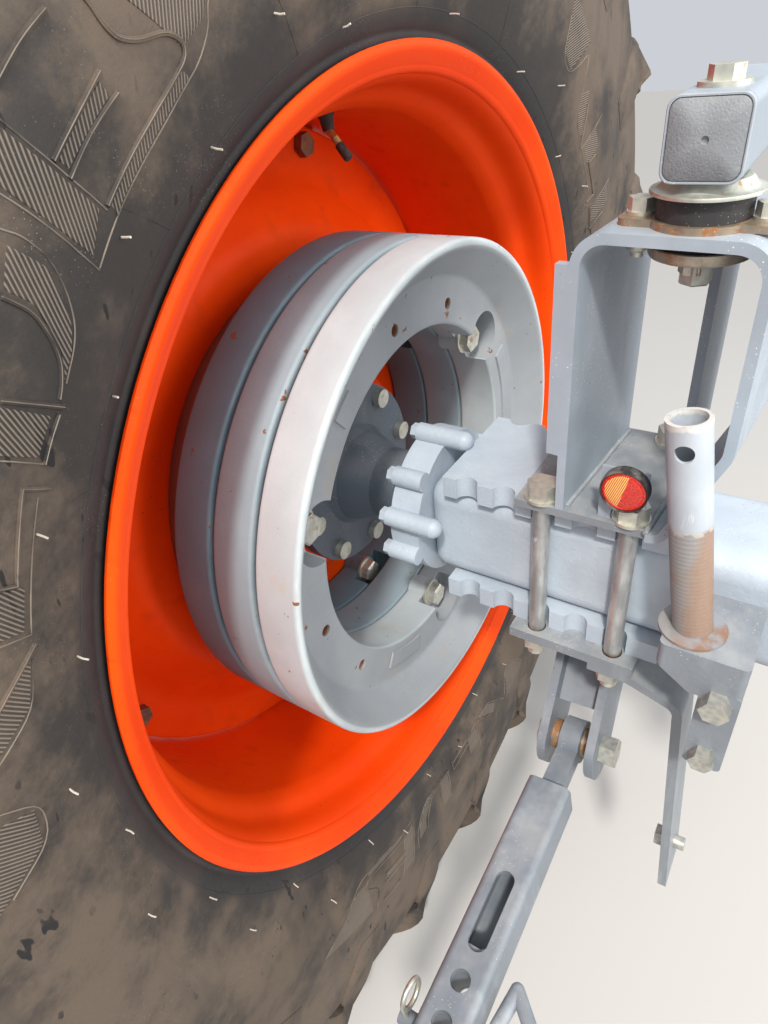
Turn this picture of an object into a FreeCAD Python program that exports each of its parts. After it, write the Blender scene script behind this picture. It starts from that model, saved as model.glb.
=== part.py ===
"""Left rear wheel of a farm tractor on the end of its axle, with what is clamped to that axle.

Millimetres. X points forward, Y outboard along the wheel's axle and Z up. The origin is on the
axle line, in the face of the flange where the axle housing bolts to the gearbox.
"""
import FreeCAD, Part
import math
import os
from FreeCAD import Vector

os.makedirs("parts", exist_ok=True)

# Fits and clearances
seat_gap = 0.3            # curved faces that touch across two bodies
running_gap = 0.05        # a shaft or pin in its bore, on the radius
bolt_gap = 1.0            # a bolt in its drilled hole, on the radius

# Wheel, measured outboard from the plane of the rim's inboard lip
lip_plane = 526.0         # the rim's inboard lip, from the mounting flange
rim_lip_r = 457.2         # rim flange, a 34 inch rim
bead_seat_r = 431.8
rim_well_r = 415.0
rim_sheet = 7.0
rim_inside_width = 406.4  # 16 inches between the flanges
rim_flange_sheet = 8.0
bead_seat_width = 44.0
well_slope = 26.0

tyre_r = 822.5            # to the tips of the lugs
tyre_section = 466.0
tyre_wall = 17.0
tyre_crown = 30.0
tyre_bead_r = 458.5
tyre_lug_height = 44.0
tyre_lug_count = 22       # on each side
tyre_lug_slant_deg = 43.0
tyre_lug_root = 12.0      # how deep a lug's foot sits in the casing
tyre_lug_flare = 1.2      # a lug's foot against its top, across

disc_face = 132.0         # inboard face of the wheel disc's centre
disc_sheet = 10.0
disc_bore_r = 76.0
disc_flat_r = 232.0
disc_ring_width = 55.0    # the flat ring at the disc's edge
disc_edge_gap = 3.0       # between the disc's edge and the rim's well
disc_ring_y = 229.0
lug_count = 8
lug_bolt_inset = 24.0     # the lug bolts' circle, inside the rim's well
lug_bolt_r = 8.0
lug_first_deg = 26.0
lug_thick = 12.0
lug_half_width = 34.0
lug_reach = 48.0          # how far a lug reaches in from the rim's well
lug_bolt_af = 24.0
lug_bolt_head = 11.0
lug_nut_height = 13.0

weight_r = 292.6
weight_bore_r = 210.0
weight_thick = 52.7
weight_edge = 6.0
weight_relief = 2.3       # the sides stand back outside the seat ring
weight_seat_width = 40.0     # the seat ring, from the bore out
weight_count = 3
weight_ear_r = 34.0
weight_ear_thick = 18.0
weight_bolt_r = 10.0
weight_bolt_pcd_r = 206.0
weight_bolt_first_deg = 39.0
lift_hole_r = 6.0
lift_hole_depth = 25.0
lift_hole_pcd_r = 229.0
lift_hole_spread_deg = 13.5
lift_hole_first_deg = 92.0

hub_flange_r = 117.0
hub_flange_thick = 18.0
hub_cone_r = 66.0
shaft_r = 45.0
shaft_inner_end = 12.0    # inboard end of the shaft, from the mounting flange
hub_cone_length = 46.0
stud_count = 8
stud_pcd_r = 101.6
stud_r = 9.0
stud_first_deg = 52.7
stud_nut_af = 27.0
stud_nut_height = 15.0

valve_deg = 79.0
valve_length = 50.0
valve_r = 5.0
valve_y = 150.0

# Axle housing
flange_r = 150.0
flange_thick = 18.0
flange_bolt_count = 8
flange_bolt_pcd_r = 130.0
flange_bolt_r = 7.0
neck_r = 100.0
housing_half_x = 60.0
housing_half_z = 60.0
housing_corner = 22.0
housing_start = 118.0
housing_overlap = 30.0    # how far the body runs into its neck
housing_end = 518.0
housing_end_round = 18.0
collar_thick = 18.0       # the round collar that the bearing cover sits on
cover_r = 86.0
cover_thick = 18.0
cover_boss_r = 11.0
cover_boss_pcd_r = 90.0
cover_boss_length = 38.0  # of the long bosses, to where their round ends begin
cover_screw_af = 16.0
cover_screw_head = 8.0
pad_top = 82.0            # upper clamp plate's underside, above the axle line
foot_bottom = -84.0       # lower clamp plate's top, below the axle line
rail_face_x = 69.5        # the rails under and over the body stand out from its sides
rail_thick = 24.0
rail_start = 236.0
rail_end = 474.0
scallop_r = 12.5          # round each place for a long bolt
scallop_pitch = 41.5
scallop_count = 6

# Clamp plates and their long bolts. The upper plate is the foot of the bent cab bracket
plate_thick = 12.0
lower_half_x = 88.0
upper_half_x = 85.5
upper_end_y = 386.0
clamp_mid_y = 321.5
clamp_length = 134.0
clamp_bolt_r = 9.0
clamp_bolt_x = 72.0
clamp_bolt_spacing = 83.0
clamp_nut_af = 27.0
clamp_nut_height = 14.0
clamp_washer_r = 17.0
clamp_washer_thick = 3.0
clamp_bolt_end = 12.0     # thread below the lower nuts
wrench_gap = 5.0          # round a nut, in the pieces beside it

# Cab bracket: one bent sheet, from the outboard leg over the top to the foot under the bolts
bracket_sheet = 8.0
portal_rear_x = -84.0
portal_outer_y = 346.5
portal_width = 138.0
portal_depth = 167.0
portal_top_z = 336.0
portal_bend_r = 26.0      # outside, both top bends
portal_kink_r = 30.0
portal_foot_bend_r = 20.0
portal_turn_deg = -4.0
portal_splay = 40.6       # how far the inboard leg's foot slants outboard
portal_splay_z = 181.0
portal_seam = 13.8        # the foot's seam, outboard of its bend
rib_width = 11.0
rib_bottom_z = 147.0
rib_top_z = 312.0
web_depth = 63.0

# Cab mount, centred on the bracket's top
mount_x = -50.0
mount_y = 266.0
mount_plate_x = 40.0
mount_plate_y = 108.0
mount_plate_corner = 8.0
mount_plate_thick = 5.0
mount_plate_r = 35.0
mount_rubber_r = 31.0
mount_hole_r = 28.0
mount_rubber_height = 16.0
under_rubber_r = 29.5
under_rubber_height = 11.0
upper_cup_r = 37.0
upper_cup_rim = 10.0
upper_cup_height = 10.0
lower_cup_r = 38.0
lower_cup_height = 6.0
mount_bolt_r = 6.0
mount_bolt_af = 19.0
mount_bolt_head = 8.5
mount_washer_r = 16.0
mount_washer_thick = 3.0
plate_bolt_r = 5.0
plate_bolt_spacing = 84.0
plate_bolt_af = 17.0
plate_bolt_washer_r = 10.5
plate_bolt_washer_thick = 2.0
plate_bolt_head = 9.0
plate_bolt_nut = 8.0
plate_bolt_end = 2.0
plate_bolt_face_r = 11.0  # spot face under the bracket's top
foot_size = 50.0
foot_wall = 4.0
foot_length = 150.0
foot_cap_x = -81.0
foot_cap_thick = 4.0
foot_plug = 12.0
foot_corner = 8.0

reflector_r = 20.5
reflector_thick = 12.0
reflector_y = 285.5
reflector_z = 128.0
reflector_tab_inboard = 17.5
reflector_tab_outboard = 22.5
reflector_tab_sheet = 2.5
reflector_tab_x = -79.0
reflector_tab_depth = 18.0
reflector_tab_top = 144.0

# Hitch casting behind the axle and the post that stands on it
casting_outer_y = 229.0
casting_inner_y = 157.0
casting_rear_x = -141.0
casting_top_z = 21.0
casting_bottom_z = -26.0
casting_edge = 24.0       # the outboard end's height, above the slanted underside
casting_slant = 30.0      # how far the underside's slant runs inboard
casting_corner = 6.0
hanger_thick = 20.0       # the lug that hangs from the casting's rear edge
hanger_width = 33.0
hanger_bottom_z = -118.0
post_x = -111.0
post_y = 208.6
post_r = 16.5
post_wall = 3.2
post_length = 202.5
post_out_deg = 9.55       # the post leans outboard
post_back_deg = 0.3
post_pad_r = 28.0
post_pad_height = 3.0
post_hole_r = 7.15
post_hole_drop = 22.0

# Strap below the lower clamp plate
strap_sheet = 10.0
strap_rear_x = -88.0
strap_depth = 60.0
strap_outer_y = 300.0
strap_flat_y = 258.0      # from here it slopes down to its corner
strap_corner_y = 201.0
strap_corner_drop = 20.0
strap_bend_r = 21.0
strap_lean_deg = 5.1
strap_drop = 360.0
strap_bolt_r = 8.0
strap_bolt_af = 24.0
strap_bolt_head = 12.0
strap_bolt_up = 60.0      # above the strap's lower end

# Clevis and stabiliser
pin_x = -60.0
pin_y = 312.0
pin_z = -274.0
pin_lean_deg = 6.0        # outboard end of the pin sits lower
pin_r = 11.0
ear_sheet = 10.5
ear_gap = 48.0
ear_r = 38.0              # round the pin
ear_top_back = 55.0       # the ears' upper part, forward of the pin
ear_top_front = 110.0
ear_web_back = 18.0       # the web's slanted lower end, forward of the pin
ear_web_knee = 82.0
pin_head_r = 18.0
pin_head_height = 8.0
pin_nut_af = 32.0
pin_nut_height = 18.0
eye_r = 26.0
eye_width = 25.0
stabiliser_fall_deg = 3.2
bar_height = 22.0
tube_start = 80.0
tube_size = 50.0
tube_wall = 5.0
tube_corner = 8.0
tube_length = 300.0
slot_start = 194.0
slot_length = 84.0
slot_width = 20.0
hole_pitch = 38.0
hole_count = 3
inner_size = 38.0
inner_length = 250.0
inner_start = 272.0
end_eye_r = 24.0
end_eye_ahead = 14.0      # its centre, beyond the bar's end
lock_pin_r = 8.0
lock_pin_at = 352.0
lock_pin_out = 20.0       # beyond the tube's outboard side
lock_pin_in = 10.0        # beyond its inboard side, to the handle's corner
handle_rod_r = 7.0
handle_run = 70.0
handle_out = 10.0
clip_rod_r = 2.5
clip_r = 14.0
clip_leg = 20.0           # either side of the locking pin
clip_ring_up = 24.0

X_AXIS = Vector(1, 0, 0)
Y_AXIS = Vector(0, 1, 0)
Z_AXIS = Vector(0, 0, 1)
ORIGIN = Vector(0, 0, 0)
nodes = {}


def cylinder(radius, start, end):
    """A round bar from one point to another."""
    along = end - start
    return Part.makeCylinder(radius, along.Length, start, along)


def tube_between(radius, wall, start, end):
    """A round tube from one point to another."""
    return cylinder(radius, start, end).cut(cylinder(radius - wall, start, end))


def block(x0, x1, y0, y1, z0, z1):
    """A square-edged block between two corners."""
    return Part.makeBox(x1 - x0, y1 - y0, z1 - z0, Vector(x0, y0, z0))


def hexagon(across_flats, start, end):
    """A six-sided bar from one point to another."""
    along = end - start
    side = Vector(0, 0, 1) if abs(along.z) < 0.9 * along.Length else Vector(1, 0, 0)
    side = side.cross(along).normalize()
    across = side.cross(along).normalize()
    corner_r = across_flats / math.sqrt(3)
    corners = []
    for step in range(7):
        turn = math.radians(60 * step)
        corners.append(start + side * (corner_r * math.cos(turn)) + across * (corner_r * math.sin(turn)))
    return Part.Face(Part.makePolygon(corners)).extrude(along)


def turned(outline):
    """A solid turned about the wheel's axle. The outline lists radius and distance outboard."""
    corners = [Vector(r, y, 0) for r, y in outline]
    return Part.Face(Part.makePolygon(corners + corners[:1])).revolve(ORIGIN, Y_AXIS, 360)


def prism_y(outline, y0, y1):
    """A flat plate square to Y. The outline lists X and Z."""
    corners = [Vector(x, y0, z) for x, z in outline]
    return Part.Face(Part.makePolygon(corners + corners[:1])).extrude(Vector(0, y1 - y0, 0))


def prism_x(outline, x0, x1):
    """A bar along X. The outline lists Y and Z."""
    corners = [Vector(x0, y, z) for y, z in outline]
    return Part.Face(Part.makePolygon(corners + corners[:1])).extrude(Vector(x1 - x0, 0, 0))


def on_wheel(radius, degrees, y):
    """A point on the wheel: the angle counts from forward, up over the top."""
    turn = math.radians(degrees)
    return Vector(radius * math.cos(turn), y, radius * math.sin(turn))


def rounded(shape, radius, axis):
    """Rounds the shape's four long edges along one axis."""
    edges = []
    for edge in shape.Edges:
        along = edge.Vertexes[-1].Point - edge.Vertexes[0].Point
        if along.Length > 0 and abs(along.normalize().dot(axis)) > 0.999:
            edges.append(edge)
    return shape.makeFillet(radius, edges)


def bent_sheet(line, bends, sheet, x0, x1):
    """A bent sheet along X. The line lists Y and Z of its outside, the bends their outside radii."""
    points = [Vector(x0, y, z) for y, z in line]
    inside = []
    for here, point in enumerate(points):
        sides = []
        if here > 0:
            sides.append(X_AXIS.cross(point - points[here - 1]).normalize())
        if here + 1 < len(points):
            sides.append(X_AXIS.cross(points[here + 1] - point).normalize())
        share = sheet / (1 + sides[0].dot(sides[-1]))
        inside.append(point + (sides[0] + sides[-1]) * share)
    solid = Part.Face(Part.makePolygon(points + inside[::-1] + points[:1])).extrude(X_AXIS * (x1 - x0))
    spots = list(zip(points[1:-1], bends))
    spots += [(point, radius - sheet) for point, radius in zip(inside[1:-1], bends)]
    for spot, radius in spots:
        edges = []
        for edge in solid.Edges:
            if all(math.hypot(v.Point.y - spot.y, v.Point.z - spot.z) < 0.01 for v in edge.Vertexes):
                edges.append(edge)
        solid = solid.makeFillet(radius, edges)
    return solid


def together(solids):
    """Solids that share a node and don't touch."""
    return Part.makeCompound(solids)


# Wheel centre plane and the planes of its parts, from the mounting flange
rim_width = rim_inside_width + 2 * rim_flange_sheet
wheel_mid = lip_plane + rim_width / 2
disc_y = lip_plane + disc_face
disc_back = disc_y + disc_sheet
ring_y = lip_plane + disc_ring_y

# Circles that follow the rim's well
well_inner_r = rim_well_r - rim_sheet
disc_edge_r = well_inner_r - disc_edge_gap
disc_ring_r = disc_edge_r - disc_ring_width
lug_bolt_pcd_r = well_inner_r - lug_bolt_inset


def make_rim():
    """The rim: two flanges, two bead seats and a well, all of one sheet."""
    half = [
        (rim_lip_r, 0.0),
        (rim_lip_r, rim_flange_sheet),
        (bead_seat_r, rim_flange_sheet),
        (bead_seat_r, rim_flange_sheet + bead_seat_width),
        (rim_well_r, rim_flange_sheet + bead_seat_width + well_slope),
    ]
    inside = [
        (rim_well_r - rim_sheet, rim_flange_sheet + bead_seat_width + well_slope),
        (bead_seat_r - rim_sheet, rim_flange_sheet + bead_seat_width - 4),
        (bead_seat_r - rim_sheet, rim_flange_sheet + 6),
        (bead_seat_r + 5, 0.0),
    ]
    outer = [(r, lip_plane + y) for r, y in half]
    outer += [(r, lip_plane + rim_width - y) for r, y in reversed(half)]
    inner = [(r, lip_plane + rim_width - y) for r, y in reversed(inside)]
    inner += [(r, lip_plane + y) for r, y in inside]
    return turned(outer + inner)


def solid_of(rings):
    """A solid through four-cornered rings, closed at both ends."""
    faces = [rings[0], rings[-1][::-1]]
    for near, far in zip(rings, rings[1:]):
        for k in range(4):
            faces.append([near[k], far[k], far[(k + 1) % 4], near[(k + 1) % 4]])
    triangles = []
    for a, b, c, d in faces:
        triangles.append(Part.Face(Part.makePolygon([a, b, c, a])))
        triangles.append(Part.Face(Part.makePolygon([a, c, d, a])))
    return Part.Solid(Part.Shell(triangles))


def make_tyre_lug():
    """One lug on the inboard half: it slants from the crown's middle to the shoulder and down the wall."""
    crown = tyre_r - tyre_lug_height
    half = rim_width / 2
    # casing's radius and distance from the lip, the lug's top there, half the lug's width
    stations = [
        (crown, half, tyre_r, half, 23.0),
        (crown - 9, 42.0, tyre_r - 7, 45.0, 31.0),
        (crown - 28, 2.0, tyre_r - 26, 2.0, 32.0),
        (crown - 60, -9.0, tyre_r - 78, -16.5, 31.0),
        (crown - 128, -15.0, tyre_r - 164, -22.5, 22.0),
    ]
    feet = []
    tops = []
    for foot_r, foot_y, top_r, top_y, half_width in stations:
        lag = math.degrees((half - max(foot_y, 0)) * math.tan(math.radians(tyre_lug_slant_deg)) / tyre_r)
        feet.append(on_wheel(foot_r, lag, lip_plane + foot_y))
        tops.append(on_wheel(top_r, lag, lip_plane + top_y))
    rings = []
    for here, station in enumerate(stations):
        foot, top = feet[here], tops[here]
        along = feet[min(here + 1, len(feet) - 1)] - feet[max(here - 1, 0)]
        up = Vector(foot.x, 0, foot.z).normalize()
        if station[0] < crown - 50:
            up = Vector(0, -1, 0)
        elif station[0] < crown - 20:
            up = (up - Y_AXIS).normalize()
        across = along.cross(up).normalize() * station[4]
        deep = foot - up * tyre_lug_root
        wide = across * tyre_lug_flare
        rings.append([deep - wide, deep + wide, top + across, top - across])
    return solid_of(rings)


def make_tyre():
    """The tyre's casing in flat facets, as thick as its walls, with its lugs."""
    bulge = (tyre_section - rim_width) / 2
    crown = tyre_r - tyre_lug_height
    low = rim_flange_sheet + seat_gap
    bead_low = bead_seat_r + seat_gap
    facets = 2 * tyre_lug_count
    flat_to_corner = 1 / math.cos(math.pi / facets)
    half = [
        (crown, 125.0),
        (crown - 9, 30.0),
        (crown - 26, -9.0),
        (crown - 170, 0.5 - bulge),
        (tyre_bead_r + 46, -10.0),
        (tyre_bead_r, low),
        (bead_low, low),
        (bead_low, low + bead_seat_width - 8),
        (crown - 160, tyre_wall - bulge),
        (crown - tyre_crown, 60.0),
    ]
    outline = []
    for r, y in half:
        corner = r * flat_to_corner if r <= tyre_bead_r else r
        outline.append((corner, lip_plane + y))
    outline += [(r, 2 * wheel_mid - y) for r, y in reversed(outline)]
    faces = []
    for facet in range(facets):
        turns = (360 * facet / facets, 360 * (facet + 1) / facets)
        for (r0, y0), (r1, y1) in zip(outline, outline[1:] + outline[:1]):
            corners = [on_wheel(r0, turns[0], y0), on_wheel(r1, turns[0], y1)]
            corners += [on_wheel(r1, turns[1], y1), on_wheel(r0, turns[1], y0)]
            faces.append(Part.Face(Part.makePolygon(corners + corners[:1])))
    casing = Part.Solid(Part.Shell(faces))
    lugs = []
    near = make_tyre_lug()
    far = near.mirror(Vector(0, wheel_mid, 0), Y_AXIS)
    for step in range(tyre_lug_count):
        for one, shift in ((near, 0.0), (far, 0.5)):
            lug = one.copy()
            lug.rotate(ORIGIN, Y_AXIS, -360 * (step + shift) / tyre_lug_count)
            lugs.append(lug)
    return casing.fuse(lugs)


def make_disc():
    """The dished wheel disc with its holes for the hub studs, the weight bolts and the lug bolts."""
    front = [(disc_bore_r, disc_y), (disc_flat_r, disc_y), (disc_ring_r, ring_y), (disc_edge_r, ring_y)]
    back = [(r, y + disc_sheet) for r, y in reversed(front)]
    disc = turned(front + back)
    # count, circle radius, first angle, hole radius, middle of the hole along Y
    holes = [
        (stud_count, stud_pcd_r, stud_first_deg, stud_r + bolt_gap, disc_y),
        (weight_count, weight_bolt_pcd_r, weight_bolt_first_deg, weight_bolt_r + bolt_gap, disc_y),
        (lug_count, lug_bolt_pcd_r, lug_first_deg, lug_bolt_r + bolt_gap, ring_y),
    ]
    for count, circle_r, first_deg, hole_r, y in holes:
        for step in range(count):
            at = on_wheel(circle_r, first_deg + 360 * step / count, y)
            disc = disc.cut(cylinder(hole_r, at - Y_AXIS * disc_sheet, at + Y_AXIS * 2 * disc_sheet))
    return disc


def around(count, first_deg, make_one):
    """Copies one solid around the axle."""
    solids = []
    one = make_one()
    for step in range(count):
        copy = one.copy()
        copy.rotate(ORIGIN, Y_AXIS, -(first_deg + 360 * step / count))
        solids.append(copy)
    return solids


def make_rim_lug():
    """One lug that carries the disc, welded into the rim's well. It points forward."""
    back = ring_y + disc_sheet
    width = lug_half_width
    lug = block(well_inner_r - lug_reach, well_inner_r + 4, back, back + lug_thick, -width, width)
    foot = block(well_inner_r - 8, well_inner_r + 4, back, back + 4 * lug_thick, -width, width)
    lug = lug.fuse(foot)
    at = Vector(lug_bolt_pcd_r, back, 0)
    lug = lug.cut(cylinder(lug_bolt_r + bolt_gap, at - Y_AXIS, at + Y_AXIS * 2 * lug_thick))
    return lug.common(cylinder(well_inner_r, Vector(0, lip_plane, 0), Vector(0, lip_plane + rim_width, 0)))


def make_lug_bolt():
    """One bolt with its head inboard and its nut outboard."""
    face = Vector(lug_bolt_pcd_r, ring_y, 0)
    back = face + Y_AXIS * (disc_sheet + lug_thick)
    head = hexagon(lug_bolt_af, face - Y_AXIS * lug_bolt_head, face)
    shank = cylinder(lug_bolt_r, face - Y_AXIS, back + Y_AXIS * (lug_nut_height + 7))
    nut = hexagon(lug_bolt_af, back, back + Y_AXIS * lug_nut_height)
    return head.fuse(shank).fuse(nut)


def make_weight(order):
    """One ring weight. The first in order lies against the disc."""
    back = disc_y - order * weight_thick
    face = back - weight_thick
    seat_r = weight_bore_r + weight_seat_width
    near = face + weight_relief
    far = back - weight_relief
    outline = [
        (weight_bore_r, face),
        (seat_r, face),
        (seat_r + weight_relief, near),
        (weight_r - weight_edge, near),
        (weight_r, near + weight_edge),
        (weight_r, far - weight_edge),
        (weight_r - weight_edge, far),
        (seat_r + weight_relief, far),
        (seat_r, back),
        (weight_bore_r, back),
    ]
    ring = turned(outline)
    for step in range(weight_count):
        degrees = weight_bolt_first_deg + 360 * step / weight_count
        at = on_wheel(weight_bolt_pcd_r, degrees, back)
        ear_face = at - Y_AXIS * weight_ear_thick
        ring = ring.cut(cylinder(weight_ear_r, ear_face, at - Y_AXIS * weight_thick * 2))
        ring = ring.fuse(cylinder(weight_ear_r, ear_face, at))
        ring = ring.cut(cylinder(weight_bolt_r + bolt_gap, ear_face - Y_AXIS, at + Y_AXIS))
        for side in (-1, 1):
            spot = lift_hole_first_deg + 360 * step / weight_count + side * lift_hole_spread_deg
            mouth = on_wheel(lift_hole_pcd_r, spot, face)
            ring = ring.cut(cylinder(lift_hole_r, mouth - Y_AXIS, mouth + Y_AXIS * lift_hole_depth))
    return ring


def make_weight_bolt():
    """One long bolt through the three weights and the disc."""
    circle = weight_bolt_pcd_r
    seat = disc_y - (weight_count - 1) * weight_thick - weight_ear_thick
    washer = cylinder(20.0, Vector(circle, seat - 4, 0), Vector(circle, seat, 0))
    head = hexagon(30.0, Vector(circle, seat - 17, 0), Vector(circle, seat - 4, 0))
    shank = cylinder(weight_bolt_r, Vector(circle, seat - 5, 0), Vector(circle, disc_back + 26, 0))
    nut = hexagon(30.0, Vector(circle, disc_back, 0), Vector(circle, disc_back + 17, 0))
    return washer.fuse(head).fuse(shank).fuse(nut)


cover_face = housing_end + cover_thick
hub_face = disc_y - hub_flange_thick


def make_shaft():
    """The axle shaft, its cone and its wheel flange, with the holes of the studs."""
    cone_start = hub_face - hub_cone_length
    outline = [
        (0, shaft_inner_end),
        (shaft_r - 8, shaft_inner_end),
        (shaft_r - 8, housing_end - 90),
        (shaft_r, housing_end - 84),
        (shaft_r, cone_start),
        (hub_cone_r - 6, hub_face - 8),
        (hub_cone_r, hub_face),
        (hub_flange_r, hub_face),
        (hub_flange_r, disc_y),
        (disc_bore_r - running_gap, disc_y),
        (disc_bore_r - running_gap, disc_back),
        (0, disc_back),
    ]
    shaft = turned(outline)
    for step in range(stud_count):
        at = on_wheel(stud_pcd_r, stud_first_deg + 360 * step / stud_count, hub_face)
        shaft = shaft.cut(cylinder(stud_r, at - Y_AXIS, at + Y_AXIS * 2 * hub_flange_thick))
    return shaft


def make_stud():
    """One wheel stud with its head inboard and its nut on the disc."""
    start = Vector(stud_pcd_r, hub_face - 9, 0)
    head = cylinder(stud_r + 3, start, Vector(stud_pcd_r, hub_face, 0))
    shank = cylinder(stud_r, start, Vector(stud_pcd_r, disc_back + stud_nut_height + 8, 0))
    nut_seat = Vector(stud_pcd_r, disc_back, 0)
    nut = hexagon(stud_nut_af, nut_seat, nut_seat + Y_AXIS * stud_nut_height)
    return head.fuse(shank).fuse(nut)


def make_valve():
    """The valve: a rubber foot on the rim's well, its stem and its cap, leaning inboard."""
    foot = Vector(well_inner_r, lip_plane + valve_y, 0)
    neck = foot + Vector(-16, -4, 0)
    tip = neck + Vector(-valve_length * 0.6, -valve_length * 0.55, 0)
    valve = cylinder(9.0, foot, neck).fuse(Part.makeSphere(9.0, neck)).fuse(cylinder(valve_r, neck, tip))
    valve = valve.common(cylinder(well_inner_r, Vector(0, lip_plane, 0), Vector(0, lip_plane + rim_width, 0)))
    valve.rotate(ORIGIN, Y_AXIS, -valve_deg)
    return valve


# Wheel body
nodes["tyre"] = make_tyre()
nodes["rim"] = make_rim()
nodes["wheel_disc"] = make_disc()
nodes["rim_lugs"] = together(around(lug_count, lug_first_deg, make_rim_lug))
nodes["lug_bolts"] = together(around(lug_count, lug_first_deg, make_lug_bolt))
for order, name in enumerate(("weight_outer", "weight_middle", "weight_inner")):
    nodes[name] = make_weight(order)
nodes["weight_bolts"] = together(around(weight_count, weight_bolt_first_deg, make_weight_bolt))
nodes["axle_shaft"] = make_shaft()
nodes["hub_studs"] = together(around(stud_count, stud_first_deg, make_stud))
nodes["valve"] = make_valve()


def make_housing():
    """The cast axle housing: mounting flange, neck, square body with rails, collar with bosses."""
    flange = cylinder(flange_r, ORIGIN, Vector(0, flange_thick, 0))
    neck = Part.makeCone(neck_r, housing_half_x, housing_start, ORIGIN, Y_AXIS)
    body_end = housing_end - collar_thick
    body = block(-housing_half_x, housing_half_x, housing_start - housing_overlap, body_end,
                 -housing_half_z, housing_half_z)
    body = rounded(body, housing_corner, Y_AXIS)
    end_edges = []
    for edge in body.Edges:
        if all(abs(corner.Point.y - body_end) < 0.01 for corner in edge.Vertexes):
            end_edges.append(edge)
    body = body.makeFillet(housing_end_round, end_edges)
    collar = cylinder(cover_r, Vector(0, body_end, 0), Vector(0, housing_end, 0))
    housing = flange.fuse(neck).fuse(body).fuse(collar)
    face = rail_face_x
    lower = block(-face, face, rail_start, rail_end, foot_bottom, foot_bottom + rail_thick)
    upper = block(-face, face, rail_start, rail_end, pad_top - rail_thick, pad_top)
    rails = lower.fuse(upper)
    for step in range(scallop_count):
        y = clamp_mid_y + (step - 1) * scallop_pitch
        for side in (-1, 1):
            spot = Vector(side * clamp_bolt_x, y, foot_bottom - 1)
            rails = rails.cut(cylinder(scallop_r, spot, Vector(spot.x, y, pad_top + 1)))
    housing = housing.fuse(rails)
    # angle on the cover, whether its boss runs on along the housing
    bosses = [(20, True), (95, True), (135, False), (165, True), (195, False), (300, True), (340, False)]
    for degrees, long_boss in bosses:
        at = on_wheel(cover_boss_pcd_r, degrees, housing_end)
        length = cover_boss_length if long_boss else collar_thick
        housing = housing.fuse(cylinder(cover_boss_r, at - Y_AXIS * length, at))
        if long_boss:
            housing = housing.fuse(Part.makeSphere(cover_boss_r, at - Y_AXIS * length))
    bore = cylinder(shaft_r + running_gap, Vector(0, housing_end - 80, 0), Vector(0, housing_end, 0))
    deep = cylinder(shaft_r + 4, Vector(0, -1, 0), Vector(0, housing_end - 79, 0))
    housing = housing.cut(bore).cut(deep)
    for step in range(flange_bolt_count):
        at = on_wheel(flange_bolt_pcd_r, 22.5 + 360 * step / flange_bolt_count, 0)
        housing = housing.cut(cylinder(flange_bolt_r, at - Y_AXIS, at + Y_AXIS * 60))
    return housing, bosses


housing, cover_bosses = make_housing()
nodes["axle_housing"] = housing


def make_cover():
    """The bearing cover on the housing's end, with a boss and a bolt head at each screw."""
    cover = cylinder(cover_r, Vector(0, housing_end, 0), Vector(0, cover_face, 0))
    for degrees, long_boss in cover_bosses:
        at = on_wheel(cover_boss_pcd_r, degrees, housing_end)
        cover = cover.fuse(cylinder(cover_boss_r, at, at + Y_AXIS * cover_thick))
        screw_seat = at + Y_AXIS * cover_thick
        cover = cover.fuse(hexagon(cover_screw_af, screw_seat, screw_seat + Y_AXIS * cover_screw_head))
    return cover.cut(cylinder(shaft_r + running_gap, Vector(0, housing_end, 0), Vector(0, cover_face, 0)))


nodes["bearing_cover"] = make_cover()

plate_y0 = clamp_mid_y - clamp_length / 2
plate_y1 = clamp_mid_y + clamp_length / 2
clamp_spots = []
for side_x in (-1, 1):
    for side_y in (-1, 1):
        clamp_spots.append((side_x * clamp_bolt_x, clamp_mid_y + side_y * clamp_bolt_spacing / 2))


# The cab bracket and what it carries turn together about the foot of its outboard leg
portal_pivot = Vector(portal_rear_x, portal_outer_y, 0)


def with_portal(shape):
    """Turns a shape by the bracket's small angle."""
    shape.rotate(portal_pivot, Z_AXIS, portal_turn_deg)
    return shape


plate_top = pad_top + bracket_sheet
plate_bottom = foot_bottom - plate_thick
portal_inner_y = portal_outer_y - portal_width
foot_bend_y = portal_inner_y + portal_splay
seam_y = foot_bend_y + portal_seam
portal_front_x = portal_rear_x + portal_depth


def make_portal():
    """The bent sheet: outboard leg, top, inboard leg and the bend of its slanted foot."""
    line = [
        (portal_outer_y, plate_top),
        (portal_outer_y, portal_top_z),
        (portal_inner_y, portal_top_z),
        (portal_inner_y, portal_splay_z),
        (foot_bend_y, pad_top),
        (seam_y, pad_top),
    ]
    bends = (portal_bend_r, portal_bend_r, portal_kink_r, portal_foot_bend_r)
    return with_portal(bent_sheet(line, bends, bracket_sheet, portal_rear_x, portal_front_x))


def drilled(plate, z):
    """A clamp plate with its four bolt holes."""
    for x, y in clamp_spots:
        low = Vector(x, y, z - 1)
        plate = plate.cut(cylinder(clamp_bolt_r + bolt_gap, low, low + Z_AXIS * 2 * plate_thick))
    return plate


upper_plate = block(-upper_half_x, upper_half_x, portal_inner_y, upper_end_y, pad_top, plate_top)
upper_plate = upper_plate.cut(with_portal(
    block(portal_rear_x - 50, portal_front_x + 50, portal_inner_y - 50, seam_y, pad_top - 1, plate_top + 1)))
nodes["upper_clamp_plate"] = drilled(upper_plate, pad_top)
nodes["lower_clamp_plate"] = drilled(
    block(-lower_half_x, lower_half_x, plate_y0, plate_y1, plate_bottom, foot_bottom), plate_bottom)

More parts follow.
